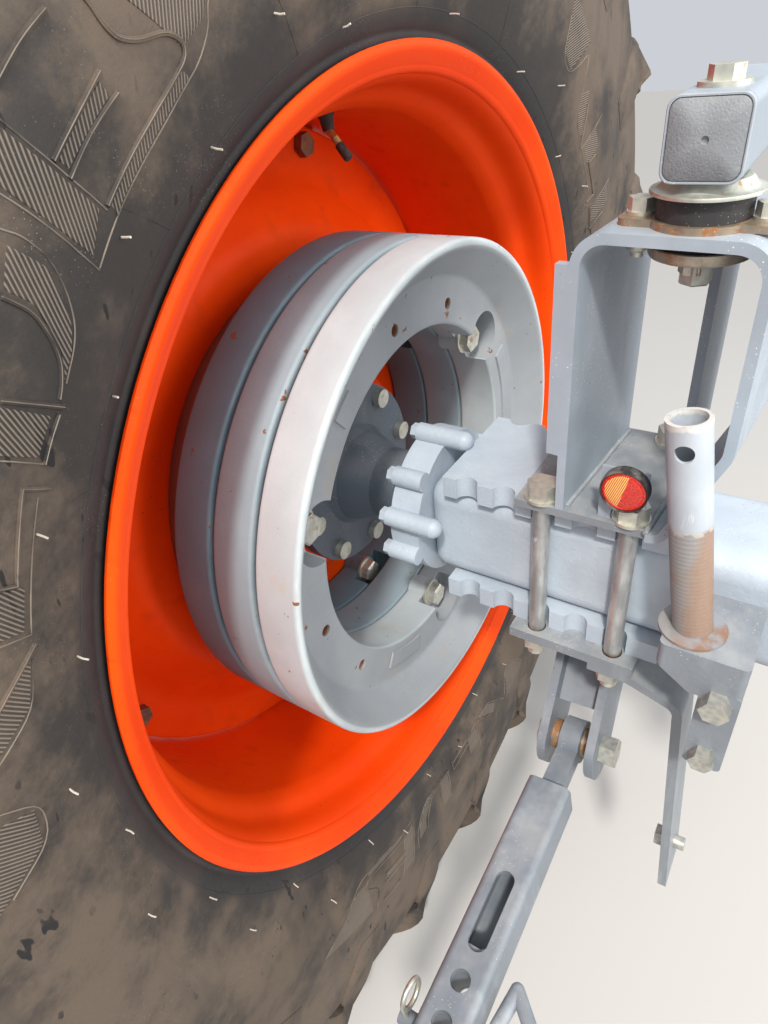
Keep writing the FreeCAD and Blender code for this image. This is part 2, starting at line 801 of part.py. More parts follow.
clamp_bolts = []
for x, y in clamp_spots:
    top = Vector(x, y, plate_top)
    low = Vector(x, y, plate_bottom)
    if strap_rear_x < x < strap_rear_x + strap_depth and y < strap_outer_y:
        low = low - Z_AXIS * strap_sheet
    nut_base = top + Z_AXIS * clamp_washer_thick
    bolt = cylinder(clamp_bolt_r, low - Z_AXIS * (clamp_nut_height + clamp_bolt_end), top + Z_AXIS)
    bolt = bolt.fuse(cylinder(clamp_washer_r, top, nut_base))
    bolt = bolt.fuse(hexagon(clamp_nut_af, nut_base, nut_base + Z_AXIS * clamp_nut_height))
    bolt = bolt.fuse(hexagon(clamp_nut_af, low - Z_AXIS * clamp_nut_height, low))
    clamp_bolts.append(bolt)
nodes["clamp_bolts"] = together(clamp_bolts)

mount = Vector(mount_x, mount_y, portal_top_z)
portal = make_portal()
portal = portal.cut(cylinder(mount_hole_r, mount - Z_AXIS * 30, mount + Z_AXIS * 10))
plate_bolt_spots = []
for side in (-1, 1):
    turn = math.radians(portal_turn_deg)
    half = side * plate_bolt_spacing / 2
    plate_bolt_spots.append(mount + Vector(-math.sin(turn) * half, math.cos(turn) * half, 0))
for spot in plate_bolt_spots:
    portal = portal.cut(cylinder(plate_bolt_r + bolt_gap, spot - Z_AXIS * 30, spot + Z_AXIS))
    portal = portal.cut(cylinder(plate_bolt_face_r, spot - Z_AXIS * 30, spot - Z_AXIS * bracket_sheet))
nodes["cab_bracket"] = portal

under_plate = portal_top_z - bracket_sheet
nodes["cab_bracket_rib"] = with_portal(
    block(portal_rear_x, portal_rear_x + bracket_sheet, portal_outer_y, portal_outer_y + rib_width,
          rib_bottom_z, rib_top_z))
nodes["cab_bracket_web"] = with_portal(
    block(portal_front_x - web_depth, portal_front_x, seam_y, seam_y + bracket_sheet, plate_top, under_plate))


def plate_about_mount(size_x, size_y, bottom, thick):
    """A plate centred on the cab mount and turned with the bracket."""
    plate = block(-size_x / 2, size_x / 2, -size_y / 2, size_y / 2, 0, thick)
    plate = rounded(plate, mount_plate_corner, Z_AXIS)
    plate.rotate(ORIGIN, Z_AXIS, portal_turn_deg)
    plate.translate(Vector(mount_x, mount_y, bottom))
    return plate


rubber_base = portal_top_z + mount_plate_thick
cup_base = rubber_base + mount_rubber_height
foot_base = cup_base + upper_cup_height
under_rubber = under_plate - under_rubber_height
lower_cup_bottom = under_rubber - lower_cup_height
foot_top = foot_base + foot_size
mount_line = Vector(mount_x, mount_y, 0)


def mount_disc(radius, z0, z1):
    """A round piece on the cab mount's centre line."""
    return cylinder(radius, mount_line + Z_AXIS * z0, mount_line + Z_AXIS * z1)


bolt_way = mount_disc(mount_bolt_r, 0, foot_base + foot_size)
base_plate = plate_about_mount(mount_plate_x, mount_plate_y, portal_top_z, mount_plate_thick)
base_plate = base_plate.fuse(mount_disc(mount_plate_r, portal_top_z, rubber_base))
base_plate = base_plate.cut(mount_disc(mount_hole_r, 0, foot_base))
for spot in plate_bolt_spots:
    base_plate = base_plate.cut(cylinder(plate_bolt_r + bolt_gap, spot - Z_AXIS, spot + Z_AXIS * 20))
nodes["mount_base_plate"] = base_plate

rubber = mount_disc(mount_rubber_r, rubber_base, cup_base)
rubber = rubber.fuse(mount_disc(mount_hole_r, under_rubber, rubber_base))
rubber = rubber.fuse(mount_disc(under_rubber_r, under_rubber, under_plate))
nodes["mount_rubber"] = rubber.cut(bolt_way)

upper_cup = Part.makeCone(upper_cup_r, upper_cup_r - upper_cup_rim, upper_cup_height,
                          mount_line + Z_AXIS * cup_base)
nodes["mount_upper_cup"] = upper_cup.cut(bolt_way)
nodes["mount_lower_cup"] = mount_disc(lower_cup_r, lower_cup_bottom, under_rubber).cut(bolt_way)

washer_top = mount_line + Z_AXIS * (foot_top + mount_washer_thick)
nut_top = mount_line + Z_AXIS * lower_cup_bottom
centre_bolt = mount_disc(mount_bolt_r, lower_cup_bottom - 1, foot_top + 1)
centre_bolt = centre_bolt.fuse(mount_disc(mount_washer_r, foot_top, foot_top + mount_washer_thick))
centre_bolt = centre_bolt.fuse(hexagon(mount_bolt_af, washer_top, washer_top + Z_AXIS * mount_bolt_head))
centre_bolt = centre_bolt.fuse(hexagon(mount_bolt_af, nut_top - Z_AXIS * mount_bolt_head, nut_top))
nodes["mount_centre_bolt"] = centre_bolt

plate_bolts = []
for spot in plate_bolt_spots:
    seat = spot + Z_AXIS * mount_plate_thick
    head = seat + Z_AXIS * plate_bolt_washer_thick
    under = spot - Z_AXIS * bracket_sheet
    bolt = cylinder(plate_bolt_r, under - Z_AXIS * (plate_bolt_nut + plate_bolt_end), seat)
    bolt = bolt.fuse(cylinder(plate_bolt_washer_r, seat, head))
    bolt = bolt.fuse(hexagon(plate_bolt_af, head, head + Z_AXIS * plate_bolt_head))
    bolt = bolt.fuse(hexagon(plate_bolt_af, under - Z_AXIS * plate_bolt_nut, under))
    plate_bolts.append(bolt)
nodes["mount_plate_bolts"] = together(plate_bolts)


def make_foot():
    """The cab's foot: a square tube lying on the mount, and its end cap."""
    half = foot_size / 2
    outer = rounded(block(0, foot_length, -half, half, 0, foot_size), foot_corner, X_AXIS)
    hollow = rounded(block(-1, foot_length + 1, -half + foot_wall, half - foot_wall, foot_wall,
                           foot_size - foot_wall), foot_corner - foot_wall, X_AXIS)
    cap = rounded(block(-foot_cap_thick, 0, -half, half, 0, foot_size), foot_corner, X_AXIS)
    plug = rounded(block(0, foot_plug, -half + foot_wall, half - foot_wall, foot_wall, foot_size - foot_wall),
                   foot_corner - foot_wall, X_AXIS)
    pieces = []
    for shape in (outer.cut(hollow), cap.fuse(plug)):
        shape.translate(Vector(foot_cap_x, mount_y, foot_base))
        pieces.append(shape)
    return pieces


foot_tube, foot_cap = make_foot()
nodes["cab_foot"] = foot_tube.cut(bolt_way)
nodes["cab_foot_cap"] = foot_cap

# Reflector on its small angle, which is notched round the near nut
tab_y0 = reflector_y - reflector_tab_inboard
tab_y1 = reflector_y + reflector_tab_outboard
tab = block(reflector_tab_x, reflector_tab_x + reflector_tab_depth, tab_y0, tab_y1, plate_top,
            plate_top + reflector_tab_sheet)
tab = tab.fuse(block(reflector_tab_x, reflector_tab_x + reflector_tab_sheet, tab_y0, tab_y1, plate_top,
                     reflector_tab_top))
near_bolt = Vector(-clamp_bolt_x, clamp_mid_y - clamp_bolt_spacing / 2, plate_top)
tab = tab.cut(cylinder(clamp_washer_r + bolt_gap, near_bolt - Z_AXIS,
                       near_bolt + Z_AXIS * (clamp_washer_thick + clamp_nut_height + bolt_gap)))
nodes["reflector_bracket"] = tab
reflector_back = Vector(reflector_tab_x, reflector_y, reflector_z)
nodes["reflector"] = cylinder(reflector_r, reflector_back - X_AXIS * reflector_thick, reflector_back)


def make_casting():
    """The hitch casting on the side of the housing: a thick flat-topped plate with a hanging lug."""
    outline = [
        (casting_inner_y, casting_top_z),
        (casting_outer_y, casting_top_z),
        (casting_outer_y, casting_top_z - casting_edge),
        (casting_outer_y - casting_slant, casting_bottom_z),
        (casting_inner_y, casting_bottom_z),
    ]
    main = rounded(prism_x(outline, casting_rear_x, -housing_half_x), casting_corner, Z_AXIS)
    hanger = block(casting_rear_x, casting_rear_x + hanger_thick,
                   casting_inner_y, casting_inner_y + hanger_width,
                   hanger_bottom_z, casting_bottom_z + 2 * casting_corner)
    return main.fuse(rounded(hanger, 5, X_AXIS))


nodes["hitch_casting"] = make_casting().cut(housing)

post_up = Vector(-math.tan(math.radians(post_back_deg)), math.tan(math.radians(post_out_deg)), 1).normalize()
post_base = Vector(post_x, post_y, casting_top_z)
post_foot = post_base - post_up * 12
post = tube_between(post_r, post_wall, post_foot, post_base + post_up * post_length)
pad = cylinder(post_pad_r, post_base, post_base + Z_AXIS * post_pad_height)
post = post.fuse(pad.cut(cylinder(post_r - post_wall, post_foot, post_base + post_up * 20)))
post = post.cut(block(-400, 400, 0, 600, casting_top_z - 60, casting_top_z))
hole_at = post_base + post_up * (post_length - post_hole_drop)
post = post.cut(cylinder(post_hole_r, hole_at - X_AXIS * 40, hole_at + X_AXIS * 40))
nodes["post_tube"] = post

# bolts on the back of the hanging lug: distance from its inboard side, height, across flats, length
hitch_bolts = []
for outward, z, across, length in ((18.0, -26.0, 22.0, 15.0), (17.0, -100.0, 19.0, 13.0)):
    seat = Vector(casting_rear_x, casting_inner_y + outward, z)
    hitch_bolts.append(hexagon(across, seat - X_AXIS * length, seat))
nodes["hitch_bolts"] = together(hitch_bolts)


strap_front_x = strap_rear_x + strap_depth
strap_slope = math.tan(math.radians(strap_lean_deg))
strap_corner_z = plate_bottom - strap_corner_drop
strap_low_z = plate_bottom - strap_drop


def make_strap():
    """The flat strap: it lies under the clamp plate, slopes inboard, bends down and hangs."""
    line = [
        (strap_outer_y, plate_bottom),
        (strap_flat_y, plate_bottom),
        (strap_corner_y, strap_corner_z),
        (strap_corner_y - strap_slope * (strap_corner_z - strap_low_z), strap_low_z),
    ]
    return bent_sheet(line, (2 * strap_bend_r, strap_bend_r), strap_sheet, strap_rear_x, strap_front_x)


strap = make_strap()
for x, y in clamp_spots:
    low = Vector(x, y, plate_bottom)
    strap = strap.cut(cylinder(clamp_bolt_r + bolt_gap, low + Z_AXIS, low - Z_AXIS * 30))

bolt_z = strap_low_z + strap_bolt_up
bolt_y = strap_corner_y - strap_slope * (strap_corner_z - bolt_z)
strap_face = Vector((strap_rear_x + strap_front_x) / 2, bolt_y, bolt_z)
out = Vector(0, math.cos(math.radians(strap_lean_deg)), -math.sin(math.radians(strap_lean_deg)))
strap_back = strap_face + out * strap_sheet
bolt = cylinder(strap_bolt_r, strap_face - out * strap_bolt_head, strap_back + out)
nodes["strap_bolt"] = bolt.fuse(hexagon(strap_bolt_af, strap_back, strap_back + out * strap_bolt_head))
nodes["strap"] = strap.cut(cylinder(strap_bolt_r, strap_face - out, strap_face + out * 2 * strap_sheet))

# Clevis and stabiliser are drawn about the pin and then set in place
pin_centre = Vector(pin_x, pin_y, pin_z)


def at_pin(shape, fall_deg=0.0):
    """Sets a shape drawn about the pin in its place; the stabiliser falls to the rear."""
    shape.rotate(ORIGIN, Y_AXIS, -fall_deg)
    shape.rotate(ORIGIN, X_AXIS, -pin_lean_deg)
    shape.translate(pin_centre)
    return shape


ear_top = plate_bottom - pin_z + 20
ear_inner = ear_gap / 2
ear_outer = ear_inner + ear_sheet
ear_tangent = ear_r / math.sqrt(2)


def make_clevis():
    """The clevis: two ears that slope back to the pin, and the web that joins them."""
    outline = [
        (-ear_tangent, ear_tangent),
        (ear_top_back, ear_top_back + 2 * ear_tangent),
        (ear_top_back, ear_top),
        (ear_top_front, ear_top),
        (ear_top_front, ear_top_front - 2 * ear_tangent),
        (ear_tangent, -ear_tangent),
    ]
    web_line = [(ear_web_back, ear_web_back + 0.7 * ear_r), (ear_web_knee, ear_web_knee + 0.7 * ear_r)]
    thick = ear_sheet * math.sqrt(2)
    web_outline = web_line + [
        (ear_web_knee, ear_top),
        (ear_web_knee + ear_sheet, ear_top),
        (ear_web_knee + ear_sheet, ear_web_knee + 0.7 * ear_r - 0.6 * ear_sheet),
        (ear_web_back + thick / 2, ear_web_back + 0.7 * ear_r - thick / 2),
    ]
    clevis = prism_y(web_outline, -ear_inner, ear_inner)
    for y0, y1 in ((-ear_outer, -ear_inner), (ear_inner, ear_outer)):
        clevis = clevis.fuse(prism_y(outline, y0, y1))
        clevis = clevis.fuse(cylinder(ear_r, Vector(0, y0, 0), Vector(0, y1, 0)))
    clevis = clevis.cut(cylinder(pin_r, Vector(0, -60, 0), Vector(0, 60, 0)))
    clevis = at_pin(clevis)
    return clevis.cut(block(-300, 300, 0, 600, plate_bottom, 0))


clevis = make_clevis()
for x, y in clamp_spots:
    low = Vector(x, y, plate_bottom)
    clevis = clevis.cut(cylinder(clamp_nut_af / 2 + wrench_gap, low, low - Z_AXIS * 60))
nodes["clevis"] = clevis

pin = cylinder(pin_r, Vector(0, -ear_outer - 14, 0), Vector(0, ear_outer + 2, 0))
pin = pin.fuse(cylinder(pin_head_r, Vector(0, ear_outer, 0), Vector(0, ear_outer + pin_head_height, 0)))
pin = pin.fuse(hexagon(pin_nut_af, Vector(0, -ear_outer - pin_nut_height, 0), Vector(0, -ear_outer, 0)))
nodes["clevis_pin"] = at_pin(pin)

spacers = []
for side in (-1, 1):
    near = side * (eye_width / 2 + seat_gap)
    far = side * ear_inner
    spacer = cylinder(pin_head_r, Vector(0, near, 0), Vector(0, far, 0))
    spacers.append(at_pin(spacer.cut(cylinder(pin_r, Vector(0, near, 0), Vector(0, far, 0)))))
nodes["pin_spacers"] = together(spacers)

# Stabiliser: along -X from the pin, then lowered by its fall
half_tube = tube_size / 2
eye = cylinder(eye_r, Vector(0, -eye_width / 2, 0), Vector(0, eye_width / 2, 0))
eye = eye.fuse(block(-tube_start - 20, -10, -eye_width / 2, eye_width / 2, -bar_height / 2, bar_height / 2))
eye = eye.cut(cylinder(pin_r + running_gap, Vector(0, -40, 0), Vector(0, 40, 0)))
nodes["stabiliser_eye"] = at_pin(eye, stabiliser_fall_deg)


def square_bar(size, start, end, corner):
    """A square bar along -X from the pin."""
    half = size / 2
    return rounded(block(-end, -start, -half, half, -half, half), corner, X_AXIS)


tube_end = tube_start + tube_length
tube = square_bar(tube_size, tube_start, tube_end, tube_corner)
tube = tube.cut(square_bar(tube_size - 2 * tube_wall, tube_start + 12, tube_end + 1, tube_corner - tube_wall))
tube = tube.cut(block(-tube_start - 30, 0, -eye_width / 2, eye_width / 2, -bar_height / 2, bar_height / 2))
slot_y = slot_width / 2
slot = block(-slot_start - slot_length + slot_y, -slot_start - slot_y, -slot_y, slot_y, 0, half_tube + 1)
for along in (slot_start + slot_y, slot_start + slot_length - slot_y):
    slot = slot.fuse(cylinder(slot_y, Vector(-along, 0, 0), Vector(-along, 0, half_tube + 1)))
tube = tube.cut(slot)
first_hole = slot_start + slot_length - slot_y
inner = square_bar(inner_size, inner_start, inner_start + inner_length, 5)
for step in range(hole_count):
    along = first_hole + hole_pitch * step
    drill = cylinder(slot_y, Vector(-along, 0, -half_tube - 1), Vector(-along, 0, half_tube + 1))
    tube = tube.cut(drill)
    if step:
        inner = inner.cut(drill)
lock = Vector(-lock_pin_at, 0, 0)
lock_way = cylinder(lock_pin_r, lock - Y_AXIS * 60, lock + Y_AXIS * 60)
inner_end = inner_start + inner_length
eye_centre = Vector(-inner_end - end_eye_ahead, 0, 0)
eye_face = Y_AXIS * (inner_size / 2)
inner = inner.fuse(cylinder(end_eye_r, eye_centre - eye_face, eye_centre + eye_face))
inner = inner.cut(cylinder(pin_r, eye_centre - eye_face * 2, eye_centre + eye_face * 2))
nodes["stabiliser_tube"] = at_pin(tube.cut(lock_way), stabiliser_fall_deg)
nodes["stabiliser_inner"] = at_pin(inner.cut(lock_way), stabiliser_fall_deg)

corner_low = lock - Y_AXIS * (half_tube + lock_pin_in)
corner_out = corner_low + Vector(handle_run, -handle_out, 0)
handle_end = corner_out - Vector(handle_run, handle_run, 0)
lock_pin = cylinder(lock_pin_r, corner_low, lock + Y_AXIS * (half_tube + lock_pin_out))
lock_pin = lock_pin.fuse(Part.makeSphere(lock_pin_r, corner_low))
lock_pin = lock_pin.fuse(cylinder(handle_rod_r, corner_low, corner_out))
lock_pin = lock_pin.fuse(Part.makeSphere(handle_rod_r, corner_out))
lock_pin = lock_pin.fuse(cylinder(handle_rod_r, corner_out, handle_end))
clip_at = lock + Y_AXIS * (half_tube + lock_pin_out - lock_pin_r)
clip_low = clip_at - Z_AXIS * clip_leg
clip_way = cylinder(clip_rod_r, clip_low, clip_at + Z_AXIS * clip_leg)
nodes["locking_pin"] = at_pin(lock_pin.cut(clip_way), stabiliser_fall_deg)
clip = cylinder(clip_rod_r, clip_low, clip_at + Z_AXIS * clip_ring_up)
ring = Part.makeTorus(clip_r, clip_rod_r, clip_at + Vector(clip_r, 0, clip_ring_up), Y_AXIS)
nodes["hairpin"] = at_pin(clip.fuse(ring), stabiliser_fall_deg)

for name, shape in nodes.items():
    shape = shape.removeSplitter() if shape.ShapeType != "Compound" else shape
    shape.exportStep("parts/" + name + ".step")
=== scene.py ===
"""Looks of the tractor's rear wheel on its axle end: materials, detailed pieces, light and camera.

Metres, in the row frame: X forward, Y outboard along the axle, Z up.
"""
import math
import random

import bmesh
import bpy
import numpy as np
from mathutils import Matrix, Vector


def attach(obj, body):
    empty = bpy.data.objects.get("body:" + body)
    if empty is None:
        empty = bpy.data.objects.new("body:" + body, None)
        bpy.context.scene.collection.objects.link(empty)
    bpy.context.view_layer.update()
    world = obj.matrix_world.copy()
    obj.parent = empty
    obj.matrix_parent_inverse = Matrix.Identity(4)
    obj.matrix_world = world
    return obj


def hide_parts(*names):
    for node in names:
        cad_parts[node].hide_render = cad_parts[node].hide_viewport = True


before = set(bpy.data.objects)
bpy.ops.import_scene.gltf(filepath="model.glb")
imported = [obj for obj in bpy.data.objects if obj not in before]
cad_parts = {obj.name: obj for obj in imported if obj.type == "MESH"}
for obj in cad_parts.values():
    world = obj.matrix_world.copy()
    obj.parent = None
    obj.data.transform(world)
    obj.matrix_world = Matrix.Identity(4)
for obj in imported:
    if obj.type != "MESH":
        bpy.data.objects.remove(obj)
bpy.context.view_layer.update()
rng = random.Random(7)

# Wheel sizes, as in the construction
LIP_Y = 0.526            # the rim's inboard edge
MID_Y = 0.7372           # the wheel's middle plane
HALF_WIDTH = 0.2112
TYRE_R = 0.8225
LUGS = 22

# The post's foot and its direction, as in the construction
POST_FOOT = Vector((-0.111, 0.2086, 0.021))
POST_UP = Vector((-0.005236, 0.168238, 1.0)).normalized()

UP = Vector((0, 0, 1))
DOWN = Vector((0, 0, -1))
REAR = Vector((-1, 0, 0))
OUTBOARD = Vector((0, 1, 0))
ANY_SIDE = Vector((0.3, 0.5, 1.0))    # where a turned piece starts, if that doesn't show


class Val:
    """A node output that adds, multiplies and compares like a number."""

    def __init__(self, tree, socket):
        self.tree = tree
        self.socket = socket

    def math(self, operation, *others):
        terms = dict(enumerate((self,) + others))
        return make_node(self.tree, "ShaderNodeMath", 0, terms, operation=operation)

    def __add__(self, other):
        return self.math("ADD", other)

    def __radd__(self, other):
        return self.math("ADD", other)

    def __sub__(self, other):
        return self.math("SUBTRACT", other)

    def __rsub__(self, other):
        return (self * -1.0).math("ADD", other)

    def __mul__(self, other):
        return self.math("MULTIPLY", other)

    def __rmul__(self, other):
        return self.math("MULTIPLY", other)

    def step(self, low, high):
        """0 below low, 1 above high, smooth between; the other way round where low is the larger."""
        if low > high:
            return 1.0 - self.step(high, low)
        return make_node(self.tree, "ShaderNodeMapRange", "Result",
                         {"From Min": low, "From Max": high, "Value": self}, interpolation_type="SMOOTHSTEP")

    def band(self, low, high, soft):
        """1 between low and high, 0 outside."""
        return self.step(low - soft, low + soft) * self.step(high + soft, high - soft)


def feed(tree, socket, value):
    """Puts a number, a colour or another node's output into a socket."""
    if isinstance(value, Val):
        tree.links.new(value.socket, socket)
    elif isinstance(value, tuple) and len(socket.default_value) == 4:
        socket.default_value = value + (1.0,)
    else:
        socket.default_value = value


def make_node(tree, kind, output, inputs, **settings):
    """Makes any node: its settings first, then its inputs by name or place."""
    node = tree.nodes.new(kind)
    for key, value in settings.items():
        setattr(node, key, value)
    for key, value in inputs.items():
        feed(tree, node.inputs[key], value)
    return Val(tree, node.outputs[output])


class Finish:
    """One material under construction."""

    def __init__(self, name):
        self.material = bpy.data.materials.new(name)
        self.material.use_nodes = True
        self.tree = self.material.node_tree
        self.shader = self.tree.nodes["Principled BSDF"]
        self.at = self.node("ShaderNodeTexCoord", "Object", {})
        self.x, self.y, self.z = self.split(self.at)

    def node(self, kind, output, inputs, **settings):
        return make_node(self.tree, kind, output, inputs, **settings)

    def split(self, vector):
        """The three parts of a vector."""
        first = self.node("ShaderNodeSeparateXYZ", "X", {0: vector})
        return [Val(self.tree, out) for out in first.socket.node.outputs]

    def noise(self, scale, detail=3.0, rough=0.55, at=None):
        return self.node("ShaderNodeTexNoise", "Fac",
                         {"Vector": at or self.at, "Scale": scale, "Detail": detail, "Roughness": rough})

    def cells(self, scale, feature="F1"):
        return self.node("ShaderNodeTexVoronoi", "Distance", {"Vector": self.at, "Scale": scale},
                         feature=feature)

    def scaled(self, factors):
        return self.node("ShaderNodeVectorMath", "Vector", {0: self.at, 1: factors}, operation="MULTIPLY")

    def up(self):
        """How far the surface faces up, from 0 to 1."""
        return self.split(self.node("ShaderNodeNewGeometry", "Normal", {}))[2].step(0.2, 0.95)

    def mix(self, amount, a, b):
        return self.node("ShaderNodeMix", 2, {"Factor": amount, 6: a, 7: b}, data_type="RGBA")

    def done(self, colour, rough, bump=None, strength=0.4, distance=0.001, metallic=0.0, coat=0.0):
        """Fills the shader's sockets."""
        fills = {"Base Color": colour, "Roughness": rough, "Metallic": metallic, "Coat Weight": coat,
                 "Coat Roughness": 0.25}
        if bump is not None:
            fills["Normal"] = self.node("ShaderNodeBump", "Normal",
                                        {"Strength": strength, "Distance": distance, "Height": bump})
        for key, value in fills.items():
            feed(self.tree, self.shader.inputs[key], value)
        return self.material


def wheel_radius(f):
    """Distance from the axle."""
    return (f.x * f.x + f.z * f.z).math("SQRT")


def tyre_rubber(name, hatched=False, pale=False):
    """Dusty rubber, darker by the rim, with mud specks; fields finely hatched, raised lines rubbed pale."""
    f = Finish(name)
    radius = wheel_radius(f)
    cloud = f.noise(9.0, 5.0)
    fine = f.noise(160.0, 4.0, 0.65)
    dust = cloud * 1.1 + f.noise(28.0, 4.0) * 0.3 + fine * 0.25 + radius.step(0.47, 0.56) * 0.14
    dust = dust.step(0.74, 1.06)
    colour = f.mix(dust, (0.026, 0.022, 0.020), (0.112, 0.082, 0.059))
    wipes = f.noise(4.0, 4.0, at=f.scaled((3.0, 1.0, 0.6))).step(0.50, 0.70)
    colour = f.mix(wipes * 0.6, colour, (0.024, 0.023, 0.024))
    colour = f.mix(radius.step(0.486, 0.472) * 0.8, colour, (0.018, 0.019, 0.021))
    mud = f.noise(75.0, 2.0, at=f.scaled((1.0, 1.0, 0.35)))
    specks = mud.step(0.66, 0.69) * f.noise(7.0, 2.0).step(0.45, 0.60)
    colour = f.mix(specks, colour, (0.009, 0.008, 0.008))
    grit = f.cells(420.0).step(0.16, 0.10) * f.noise(11.0).step(0.52, 0.66)
    colour = f.mix(grit * 0.6, colour, (0.33, 0.29, 0.24))
    height = fine * 0.35 + cloud * 0.3 + f.noise(600.0, 2.0) * 0.25 + specks * 0.5
    if hatched:
        wave = (f.z.math("ARCTAN2", f.x) * 1060.0 + radius * 1500.0).math("SINE")
        height = height + wave * 1.2
        crest = f.mix(0.75, colour, (0.270, 0.220, 0.175))
        colour = f.mix(wave.step(-0.5, 0.9), f.mix(0.4, colour, (0.030, 0.026, 0.023)), crest)
    if pale:
        colour = f.mix(f.noise(30.0, 3.0).step(0.25, 0.60) * 0.75, colour, (0.235, 0.195, 0.155))
    return f.done(colour, 0.60 + fine * 0.25, height, 0.6, 0.0012)


def gloss_paint(name, deep, bright):
    """The rim's orange paint: bright and smooth, with dust low down and a few chips."""
    f = Finish(name)
    cloud = f.noise(5.0, 3.0)
    colour = f.mix(cloud.step(0.3, 0.75), deep, bright)
    radius = wheel_radius(f)
    grime = (f.noise(30.0, 5.0) + radius.step(0.425, 0.400) * 0.08).step(0.60, 0.86) * 0.45
    colour = f.mix(grime * 0.6, colour, (0.45, 0.045, 0.008))
    chips = f.cells(95.0).step(0.085, 0.06) * f.noise(14.0, 2.0).step(0.56, 0.62)
    colour = f.mix(chips, colour, (0.13, 0.045, 0.025))
    dust = f.cells(310.0).step(0.16, 0.09) * f.noise(16.0, 2.0).step(0.5, 0.7)
    colour = f.mix(dust * 0.35, colour, (0.80, 0.50, 0.34))
    height = f.noise(38.0, 2.0) * 0.6 + f.noise(700.0, 1.0) * 0.12 - chips * 0.4
    f.shader.inputs["Specular IOR Level"].default_value = 0.12
    return f.done(colour, 0.44 + grime * 0.4 + f.noise(60.0) * 0.10, height, 0.10, 0.0010)


def weight_paint(name, base, worn, stain, side=None):
    """Cast iron weights: paint over a rough skin, with rust spots and pale corners that are partly rubbed
    paint and partly a painted highlight on the rounded outer band; a given side tone is painted shade on the
    dished face.
    """
    f = Finish(name)
    skin = f.noise(330.0, 4.0, 0.65)
    cloud = f.noise(13.0, 4.0)
    radius = wheel_radius(f)
    colour = f.mix(cloud.step(0.35, 0.75), base, tuple(c * 1.18 for c in base))
    if side:
        # Painted shade: the dished face between the bore and the outer band gets the darker side tone.
        flat = radius.band(0.2015, 0.2850, 0.0010)
        colour = f.mix(flat * 0.92, colour, f.mix(f.noise(20.0, 4.0), side, tuple(c * 1.35 for c in side)))
    # Pale corner band: partly rubbed paint, partly a painted highlight on the rounded outer band.
    corner = (radius + f.noise(60.0, 2.0) * 0.003).band(0.2885, 0.2925, 0.0010)
    colour = f.mix(corner * f.noise(16.0, 3.0).step(0.35, 0.6) * 0.55, colour, worn)
    smear = (f.noise(22.0, 5.0, 0.6) + f.noise(5.0) * 0.5).step(0.86, 1.02)
    colour = f.mix(smear * stain, colour, (0.42, 0.31, 0.19))
    rust = f.noise(62.0, 3.0).step(0.70, 0.73)
    colour = f.mix(rust, colour, (0.20, 0.075, 0.03))
    grit = f.cells(520.0).step(0.18, 0.10) * cloud.step(0.45, 0.6)
    colour = f.mix(grit * 0.35, colour, tuple(min(1.0, c * 1.8 + 0.05) for c in base))
    return f.done(colour, 0.50 + skin * 0.2, skin * 0.8 + cloud * 0.3 - rust * 0.5, 0.30, 0.0010, coat=0.05)


def metal_paint(name, base, cast=0.0, specks=0.6, dusty=0.5, rusty=0.25, edge=(0.50, 0.54, 0.58)):
    """Blue-grey paint: cloudy, speckled with pale dirt, dusty on top, rusting in spots."""
    f = Finish(name)
    cloud = f.noise(11.0, 4.0)
    fine = f.noise(210.0, 4.0, 0.6)
    colour = f.mix(cloud.step(0.3, 0.8), tuple(c * 0.86 for c in base), tuple(c * 1.10 for c in base))
    streak = f.noise(26.0, 3.0, at=f.scaled((1.0, 1.0, 0.22))).step(0.52, 0.78)
    colour = f.mix(streak * 0.3, colour, edge)
    dust = f.up() * (f.noise(34.0, 5.0) * 0.9 + cloud * 0.3).step(0.42, 0.85)
    colour = f.mix(dust * dusty, colour, (0.50, 0.49, 0.46))
    speck = f.cells(260.0).step(0.17, 0.12) * f.noise(19.0, 3.0).step(0.46, 0.62)
    colour = f.mix(speck * specks, colour, (0.78, 0.78, 0.74))
    drops = f.cells(120.0).step(0.10, 0.07) * f.noise(8.0, 2.0).step(0.54, 0.62)
    colour = f.mix(drops * 0.7, colour, (0.05, 0.05, 0.055))
    rust = (f.noise(48.0, 5.0, 0.6) + f.noise(6.0) * 0.4).step(0.92, 1.0)
    colour = f.mix(rust * rusty, colour, (0.28, 0.12, 0.05))
    height = fine * (0.25 + cast) + cloud * 0.2 + speck * 0.25 - rust * 0.2 + f.noise(75.0, 3.0) * cast * 0.8
    return f.done(colour, 0.42 + fine * 0.16 + dust * 0.25, height, 0.22 + 0.35 * cast, 0.0010, coat=0.12)


